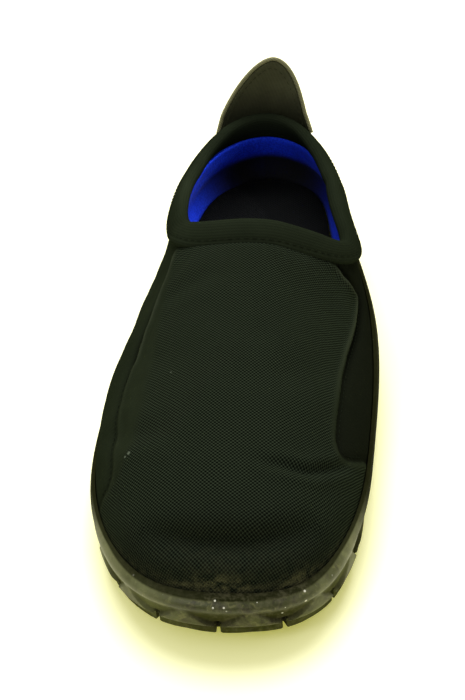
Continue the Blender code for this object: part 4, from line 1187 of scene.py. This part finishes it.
def build_binding(material, thread):
    fine = np.linspace(0.0, 1.0, 4001)
    rim = LAST(fine)[:, 2:5]
    arc = np.concatenate([[0.0], np.cumsum(np.linalg.norm(np.diff(rim, axis=0), axis=1))])
    columns, sides = 520, 36
    u = np.interp(np.linspace(0, arc[-1], columns, endpoint=False), arc, fine)
    centre, tall, thick, half = binding_frames(u)
    here = np.linspace(0, arc[-1], columns, endpoint=False)
    pucker = np.sin(here * 2 * math.pi / 6.3 + 1.5 * ripple(centre, 45.0, 31)) * 0.5 + 0.5 * ripple(centre, 8.0, 32)
    wobble = ripple(centre, 38.0, 33)
    rings, around = [], []
    for i in range(sides):
        angle = 2.0 * math.pi * i / sides
        square = 0.74
        across = math.copysign(abs(math.cos(angle)) ** square, math.cos(angle)) * BINDING_THICK / 2
        share = math.copysign(abs(math.sin(angle)) ** square, math.sin(angle))
        along = share * half
        squeeze = 1.0 - 0.10 * bell((share + 0.56) / 0.13)
        reach_down = -0.9 if share < -0.8 else 0.0
        swell = 1.0 + 0.020 * wobble + 0.030 * pucker * bell((share + 0.75) / 0.45)
        ring = centre + thick * (across * squeeze * swell)[:, None] + tall * (along * (1 + 0.012 * wobble) + reach_down * 0.6)[:, None]
        rings.append(ring)
    rings = np.array(rings)
    around = np.concatenate([[0.0], np.cumsum(np.linalg.norm(np.diff(np.concatenate([rings[:, 0], rings[:1, 0]]), axis=0), axis=1))])
    faces, cj, ck = quad_grid(sides, columns, True, True)
    ob = piece("collar_roll", rings.reshape(-1, 3), faces, [material])
    lengths = np.append(here, arc[-1])
    put_uv(ob, "roll", np.stack([lengths[ck], around[cj]], -1))
    # share of the binding at the front; the rest gets painted shade
    put_value(ob, "front", smooth((rings.reshape(-1, 3)[:, 1] - 116.0) / 24.0))
    put_uv(ob, "OFBake", np.stack([0.002 + 0.996 * ck / columns, 0.002 + 0.996 * cj / sides], -1))
    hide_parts("collar_binding")

    # a row of stitches in the squeezed line, outside and inside
    rows = []
    for side in (1.0, -1.0):
        angle_share = 0.56
        along = -angle_share * half
        cos = (1.0 - angle_share ** (2 / 0.74)) ** 0.5
        across = side * cos ** 0.74 * BINDING_THICK / 2 * 0.90
        line = centre + thick * across + tall * along[:, None]
        rows.append((np.vstack([line, line[:1]]), np.vstack([thick * side, thick[:1] * side]), STITCH_PITCH))
    points, faces = stitches(rows)
    sewn = piece("binding_stitches", points, faces, [thread])
    return ob, sewn


# ---------------------------------------------------------------- heel tab and cord
def tab_reach():
    fine = np.linspace(HEEL_U, HEEL_U + 0.2, 801)
    rim = wall_point(fine, 1.0)[:, :2]
    arc = np.concatenate([[0.0], np.cumsum(np.linalg.norm(np.diff(rim, axis=0), axis=1))])
    return float(np.interp(TAB_HALF_WIDTH, arc, fine)) - HEEL_U


REACH = tab_reach()


def tab_face(across, z, offset):
    u = HEEL_U + np.asarray(across, float) * REACH
    edge = wall_point(u, 1.0)
    inside = np.minimum(z, edge[:, 2])
    low, high = np.zeros(len(u)), np.ones(len(u))
    for _ in range(40):
        mid = 0.5 * (low + high)
        below = wall_point(u, mid)[:, 2] < inside
        low, high = np.where(below, mid, low), np.where(below, high, mid)
    plan = wall_point(u, low)[:, :2]
    _, _, outward, _ = collar_frames(u)
    out = unit(outward[:, :2])
    roll = BINDING_THICK / 2 - UPPER_WALL / 2
    bow = GAP + roll * smooth((z - (edge[:, 2] - 6.0)) / 7.0)
    face = plan + out * (bow + offset)[:, None]
    face[:, 0] += TAB_LEAN * np.clip((z - 53.0) / (TAB_PEAK - 53.0), 0.0, 1.0) ** 1.2
    return np.column_stack([face, z])


def tab_top(across):
    corner = wall_point(HEEL_U + np.asarray(across, float) * REACH, 1.0)[:, 2] + 5.0
    return TAB_PEAK - (TAB_PEAK - corner) * np.abs(across) ** 1.75


def tab_out(across):
    _, _, outward, _ = collar_frames(HEEL_U + np.asarray(across, float) * REACH)
    return np.column_stack([unit(outward[:, :2]), np.zeros(len(across))])


def build_tab(inside, outside, thread):
    across = np.linspace(-1.0, 1.0, 65)
    edge = wall_point(HEEL_U + across * REACH, 1.0)[:, 2]
    foot = TAB_FOOT + (edge - 4.0 - TAB_FOOT) * np.abs(across) ** 2.2
    top = tab_top(across) + 0.35
    rows = 56
    rings = []
    for j in range(rows + 1):
        share = j / rows
        z = foot + (top - foot) * share
        soft = 0.35 * ripple(np.column_stack([across * 21, np.full(65, 0.0), z]), 22.0, 41) * math.sin(math.pi * share)
        rings.append(tab_face(across, z, np.full(len(across), TAB_THICK / 2) + soft))
    rings = np.array(rings)
    faces, cj, ck = quad_grid(rows + 1, len(across), False, False)
    ob = piece("heel_tab_cloth", rings.reshape(-1, 3), faces, [outside, inside])
    put_uv(ob, "cloth", np.stack([across[ck] * TAB_HALF_WIDTH, rings[cj, ck, 2]], -1))
    shell = ob.modifiers.new("cloth", "SOLIDIFY")
    shell.thickness = 1.7 * MM
    shell.offset = 0.0
    shell.use_even_offset = True
    shell.use_rim = True
    shell.material_offset = 1
    shell.material_offset_rim = 1
    soft = ob.modifiers.new("edge", "BEVEL")
    soft.width = 0.6 * MM
    soft.segments = 3
    soft.limit_method = "ANGLE"
    soft.angle_limit = math.radians(50)
    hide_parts("heel_tab")

    sew = []
    for inset in (2.8,):
        t = np.linspace(-0.93, 0.93, 90)
        z = tab_top(t) - inset * (1.0 + 0.5 * np.abs(t))
        for offset, way in ((TAB_THICK / 2 + 0.85, 1.0), (TAB_THICK / 2 - 0.85, -1.0)):
            sew.append((tab_face(t, z, np.full(len(t), offset)), tab_out(t) * way, 2.8))
    points, faces = stitches(sew, thread=0.36)
    sewn = piece("tab_stitches", points, faces, [thread])
    return ob, sewn


def build_drawcord(material):
    across = np.linspace(-1.0, 1.0, 81)
    edge = tab_face(across, tab_top(across), np.full(len(across), TAB_THICK / 2 + 0.15))
    along = unit(np.gradient(edge, axis=0))
    clear = np.cross(along, tab_out(across))
    clear = unit(clear * np.sign(clear[:, 2])[:, None])
    path = spaced(edge + clear * (CORD / 2 + 0.45), 0.9)
    swell = 1.0 + 0.03 * np.sin(np.arange(len(path)) * 2.1)
    points, faces = capped_tube(tube(path, CORD / 2 * swell, 18))
    ob = piece("drawcord_braid", points, faces, [material])
    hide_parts("drawcord")
    return ob, path


def lock_centre():
    back = tab_face(np.array([0.0]), np.array([40.0]), np.array([TAB_THICK]))[0]
    return np.array([back[0], back[1] - 9.5, 34.0])


def lathe(profile, centre, sides=48):
    """Points and faces of a turned solid; the profile runs from the axis to the axis, upwards."""
    turn = np.linspace(0, 2 * math.pi, sides, endpoint=False)
    rings = np.array([[(centre[0] + r * math.cos(a), centre[1] + r * math.sin(a), centre[2] + z) for a in turn] for r, z in profile[1:-1]])
    faces, _, _ = quad_grid(len(rings), sides, False, True)
    faces = [list(f) for f in faces]
    points = np.vstack([rings.reshape(-1, 3), [[centre[0], centre[1], centre[2] + profile[0][1]], [centre[0], centre[1], centre[2] + profile[-1][1]]]])
    low, high = len(points) - 2, len(points) - 1
    for k in range(sides):
        faces.append([low, k, (k + 1) % sides])
        faces.append([high, (len(rings) - 1) * sides + (k + 1) % sides, (len(rings) - 1) * sides + k])
    return points, faces


def build_lock(dark, pale):
    centre = lock_centre()
    r, h = LOCK_DIAMETER / 2, LOCK_TALL / 2
    profile = [(0, -h), (r * 0.55, -h), (r * 0.82, -h + 0.25), (r * 0.95, -h + 0.9), (r, -h + 1.7)]
    for z in np.arange(-h + 2.2, -2.6, 0.9):
        profile += [(r, z), (r - 0.28, z + 0.25), (r - 0.28, z + 0.5), (r, z + 0.75)]
    profile += [(r, -2.4), (r, 2.4)]
    for z in np.arange(2.6, h - 1.6, 0.9):
        profile += [(r, z), (r - 0.28, z + 0.25), (r - 0.28, z + 0.5), (r, z + 0.75)]
    profile += [(r, h - 0.9), (r * 0.95, h - 0.35), (r * 0.86, h), (BUTTON_DIAMETER / 2 + 0.25, h), (BUTTON_DIAMETER / 2 + 0.2, h - 0.8), (0, h - 0.8)]
    points, faces = lathe(profile, centre)
    body = piece("cord_lock_barrel", points, faces, [dark], shade_angle=40.0)
    hole_points, hole_faces = [], []
    path = np.array([[centre[0], centre[1] + t, centre[2]] for t in np.linspace(-9, 9, 3)])
    hole_points, hole_faces = capped_tube(tube(path, LOCK_HOLE / 2, 32))
    mesh = bpy.data.meshes.new("hole")
    mesh.from_pydata(world(hole_points).tolist(), [], hole_faces)
    hole = bpy.data.objects.new("hole", mesh)
    bpy.context.scene.collection.objects.link(hole)
    for ob in (hole, body):
        bm = bmesh.new()
        bm.from_mesh(ob.data)
        bmesh.ops.recalc_face_normals(bm, faces=bm.faces[:])
        bm.to_mesh(ob.data)
        bm.free()
    cut = body.modifiers.new("hole", "BOOLEAN")
    cut.operation, cut.solver, cut.object = "DIFFERENCE", "EXACT", hole
    bpy.context.view_layer.update()
    done = bpy.data.meshes.new_from_object(body.evaluated_get(bpy.context.evaluated_depsgraph_get()))
    body.modifiers.clear()
    body.data = done
    done.shade_smooth()
    done.set_sharp_from_angle(angle=math.radians(40.0))
    bpy.data.objects.remove(hole, do_unlink=True)
    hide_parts("cord_lock")

    b, t = BUTTON_DIAMETER / 2, BUTTON_TALL
    low = LOCK_TALL / 2 + GAP - 1.0
    top = LOCK_TALL / 2 + GAP + t
    profile = [(0, low), (b - 0.1, low), (b - 0.1, top - 1.4), (b - 0.3, top - 0.6), (b * 0.78, top - 0.1), (b * 0.6, top), (b * 0.45, top - 0.25), (b * 0.2, top - 0.4), (0, top - 0.42)]
    points, faces = lathe(profile, centre)
    button = piece("lock_push_button", points, faces, [pale], shade_angle=40.0)
    bm = bmesh.new()
    bm.from_mesh(button.data)
    bmesh.ops.recalc_face_normals(bm, faces=bm.faces[:])
    bm.to_mesh(button.data)
    bm.free()
    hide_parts("lock_button")
    return body, button


def build_tail(material):
    centre = lock_centre()
    tip = tab_face(np.array([0.0]), np.array([TAB_PEAK - 4.0]), np.array([TAB_THICK]))[0]
    crown = tab_face(np.array([0.0]), np.array([TAB_PEAK]), np.array([TAB_THICK]))[0]
    route = [np.array([crown[0], crown[1] - 0.2, crown[2] + 0.9]), np.array([tip[0], tip[1] - CORD / 2 - GAP, tip[2]])]
    for stop in CORD_STOPS:
        route.append(np.array([centre[0] + stop.aside, centre[1] - stop.behind, centre[2] + stop.above]))
    path = spaced(route, 1.6)
    curve = bpy.data.curves.new("cord_tail_braid", "CURVE")
    curve.dimensions = "3D"
    curve.bevel_depth = CORD / 2 * MM
    curve.bevel_resolution = 4
    curve.use_fill_caps = True
    spline = curve.splines.new("POLY")
    spline.points.add(len(path) - 1)
    for point, co in zip(spline.points, world(path)):
        point.co = (*co, 1.0)
    spline.use_smooth = True
    curve.materials.append(material)
    ob = bpy.data.objects.new("cord_tail_braid", curve)
    bpy.context.scene.collection.objects.link(ob)
    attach(ob, "root")
    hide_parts("cord_tail")

    # an overhand knot just above the end: the cord wraps once round itself
    near = path[int(len(path) * 0.915)]
    along = unit(path[int(len(path) * 0.915) + 2] - path[int(len(path) * 0.915) - 2])
    one = unit(np.cross(along, [0.2, 0.9, 0.1]))
    two = np.cross(along, one)
    t = np.linspace(0, 2 * math.pi * 1.35, 70)
    wrap = near + np.outer(np.cos(t) * (1.45 + 0.1 * np.sin(2 * t)), one) + np.outer(np.sin(t) * 1.45, two) + np.outer((t / t[-1] - 0.5) * 2.6, along)
    points, faces = capped_tube(tube(wrap, 0.95, 12))
    knot = piece("cord_knot", points, faces, [material])
    return ob, knot, path


# ---------------------------------------------------------------- build
thread = thread_material("thread", (0.0050, 0.0066, 0.0040), (0.0100, 0.0128, 0.0078))
rubber = rubber_material()
cord_cloth = cord_material()
upper_ob, seam_rows, upper_skin = build_upper(upper_material(), lining_material())
build_seam_stitches(seam_rows, upper_skin, thread)
build_outsole(rubber)
build_insole(insole_material())
build_binding(binding_material(), thread_material("binding_thread", (0.0066, 0.0087, 0.0049), (0.0108, 0.0140, 0.0078)))
build_tab(tab_material("tab_inside", True), tab_material("tab_outside", False), thread_material("tab_thread", (0.0250, 0.0260, 0.0145), (0.0430, 0.0445, 0.0240)))
build_drawcord(cord_cloth)
lock = build_lock(plastic_material("lock_plastic", (0.010, 0.011, 0.010), (0.020, 0.021, 0.018), 0.32),
                  plastic_material("button_plastic", (0.095, 0.092, 0.052), (0.135, 0.130, 0.078), 0.38))
tail, knot, tail_path = build_tail(cord_cloth)

# ---------------------------------------------------------------- stage
ZOOM = 1.55
FOCAL_PIXELS = 900.0
PITCH = 0.615
TURN = 0.0157
EYE = np.array([55.35, -445.93, 377.01])
AIM = (125.0, 407.5)     # middle of the shoe in the photograph's 465 x 700 frame


def rotation_between(a, b):
    axis = np.cross(a, b)
    return Matrix.Rotation(math.asin(min(1.0, float(np.linalg.norm(axis)))), 3, Vector(axis))


def make_camera():
    ahead = np.array([0.0, math.cos(PITCH), -math.sin(PITCH)])
    right = np.array([1.0, 0.0, 0.0])
    above = np.cross(right, ahead)
    ray = unit(ahead + right * (AIM[0] - 232.5) / FOCAL_PIXELS + above * (350.0 - AIM[1]) / FOCAL_PIXELS)
    back_turn = Matrix.Rotation(-TURN, 3, "Z")
    swing = rotation_between(ahead, ray)
    axes = [back_turn @ (swing @ Vector(v)) for v in (right, above, -ahead)]
    turn = Matrix((axes[0], axes[1], axes[2])).transposed().to_4x4()
    data = bpy.data.cameras.new("camera")
    data.sensor_fit = "AUTO"
    data.sensor_width = 36.0
    data.lens = FOCAL_PIXELS * ZOOM * 36.0 / 700.0
    data.clip_start, data.clip_end = 0.01, 50.0
    ob = bpy.data.objects.new("camera", data)
    bpy.context.scene.collection.objects.link(ob)
    ob.matrix_world = Matrix.Translation(Vector(EYE * MM)) @ turn
    bpy.context.scene.camera = ob


def area_light(name, place, aim, size, power, colour):
    data = bpy.data.lights.new(name, "AREA")
    data.shape = "DISK"
    data.size = size
    data.energy = power
    data.color = colour
    ob = bpy.data.objects.new(name, data)
    bpy.context.scene.collection.objects.link(ob)
    ob.location = place
    ob.rotation_mode = "QUATERNION"
    ob.rotation_quaternion = (Vector(aim) - Vector(place)).to_track_quat("-Z", "Y")


def spot_light(name, place, aim, spread, power, colour):
    data = bpy.data.lights.new(name, "SPOT")
    data.spot_size = math.radians(spread)
    data.spot_blend = 0.9
    data.shadow_soft_size = 0.04
    data.energy = power
    data.color = colour
    ob = bpy.data.objects.new(name, data)
    bpy.context.scene.collection.objects.link(ob)
    ob.location = place
    ob.rotation_mode = "QUATERNION"
    ob.rotation_quaternion = (Vector(aim) - Vector(place)).to_track_quat("-Z", "Y")


def make_stage():
    mesh = bpy.data.meshes.new("floor")
    side, rise, steps = 3.0, 2.2, 14
    back = 2.6
    profile = [(-side, 0.0), (back - 0.8, 0.0)]
    for i in range(1, steps + 1):
        a = 0.5 * math.pi * i / steps
        profile.append((back - 0.8 + 0.8 * math.sin(a), 0.8 - 0.8 * math.cos(a)))
    profile.append((back, rise))
    points = [(x, y, z - 0.0002) for y, z in profile for x in (-side, side)]
    mesh.from_pydata(points, [], [(2 * i, 2 * i + 1, 2 * i + 3, 2 * i + 2) for i in range(len(profile) - 1)])
    mesh.shade_smooth()
    # The floor gives off a faint yellow light of its own: a painted glow that lights the shoe from below and tints its
    # shadows yellow.
    look = Look("pale_floor", Roughness=0.6, Specular_IOR_Level=0.2, Emission_Strength=0.31, Emission_Color=(1.0, 0.97, 0.05))
    place = look.place()
    look.set("Base Color", look.mix(look.noise(place, 260.0, 2.0), (0.90, 0.89, 0.74), (0.92, 0.91, 0.77)))
    mesh.materials.append(look.material)
    floor = bpy.data.objects.new("floor", mesh)
    bpy.context.scene.collection.objects.link(floor)
    sky = bpy.data.worlds.new("studio")
    bpy.context.scene.world = sky
    sky.use_nodes = True
    nodes, links = sky.node_tree.nodes, sky.node_tree.links
    split = nodes.new("ShaderNodeSeparateXYZ")
    links.new(nodes.new("ShaderNodeTexCoord").outputs["Generated"], split.inputs[0])
    parts = []
    for axis, low, high, to_low, to_high in (("Z", 0.0, 1.0, 0.25, 0.83), ("X", -1.0, 1.0, 0.90, 1.10)):
        ramp = nodes.new("ShaderNodeMapRange")
        links.new(split.outputs[axis], ramp.inputs[0])
        for i, value in enumerate((low, high, to_low, to_high)):
            ramp.inputs[i + 1].default_value = value
        parts.append(ramp.outputs[0])
    both = nodes.new("ShaderNodeMath")
    both.operation = "MULTIPLY"
    links.new(parts[0], both.inputs[0])
    links.new(parts[1], both.inputs[1])
    nodes["Background"].inputs["Color"].default_value = (1.0, 0.995, 0.965, 1.0)
    links.new(both.outputs[0], nodes["Background"].inputs["Strength"])
    area_light("key", (-0.03, 0.60, 1.50), (0.0, 0.0, 0.03), 1.3, 32.0, (1.0, 0.995, 0.965))
    area_light("front", (-0.80, -0.95, 1.15), (0.0, -0.12, 0.02), 0.50, 3.6, (1.0, 1.0, 0.92))
    spot_light("opening", (0.30, 0.10, 0.50), (-0.032, 0.072, 0.034), 10.0, 22.0, (1.0, 0.995, 0.965))
    bpy.context.scene.view_settings.view_transform = "Standard"
    bpy.context.scene.view_settings.look = "None"


make_camera()
make_stage()
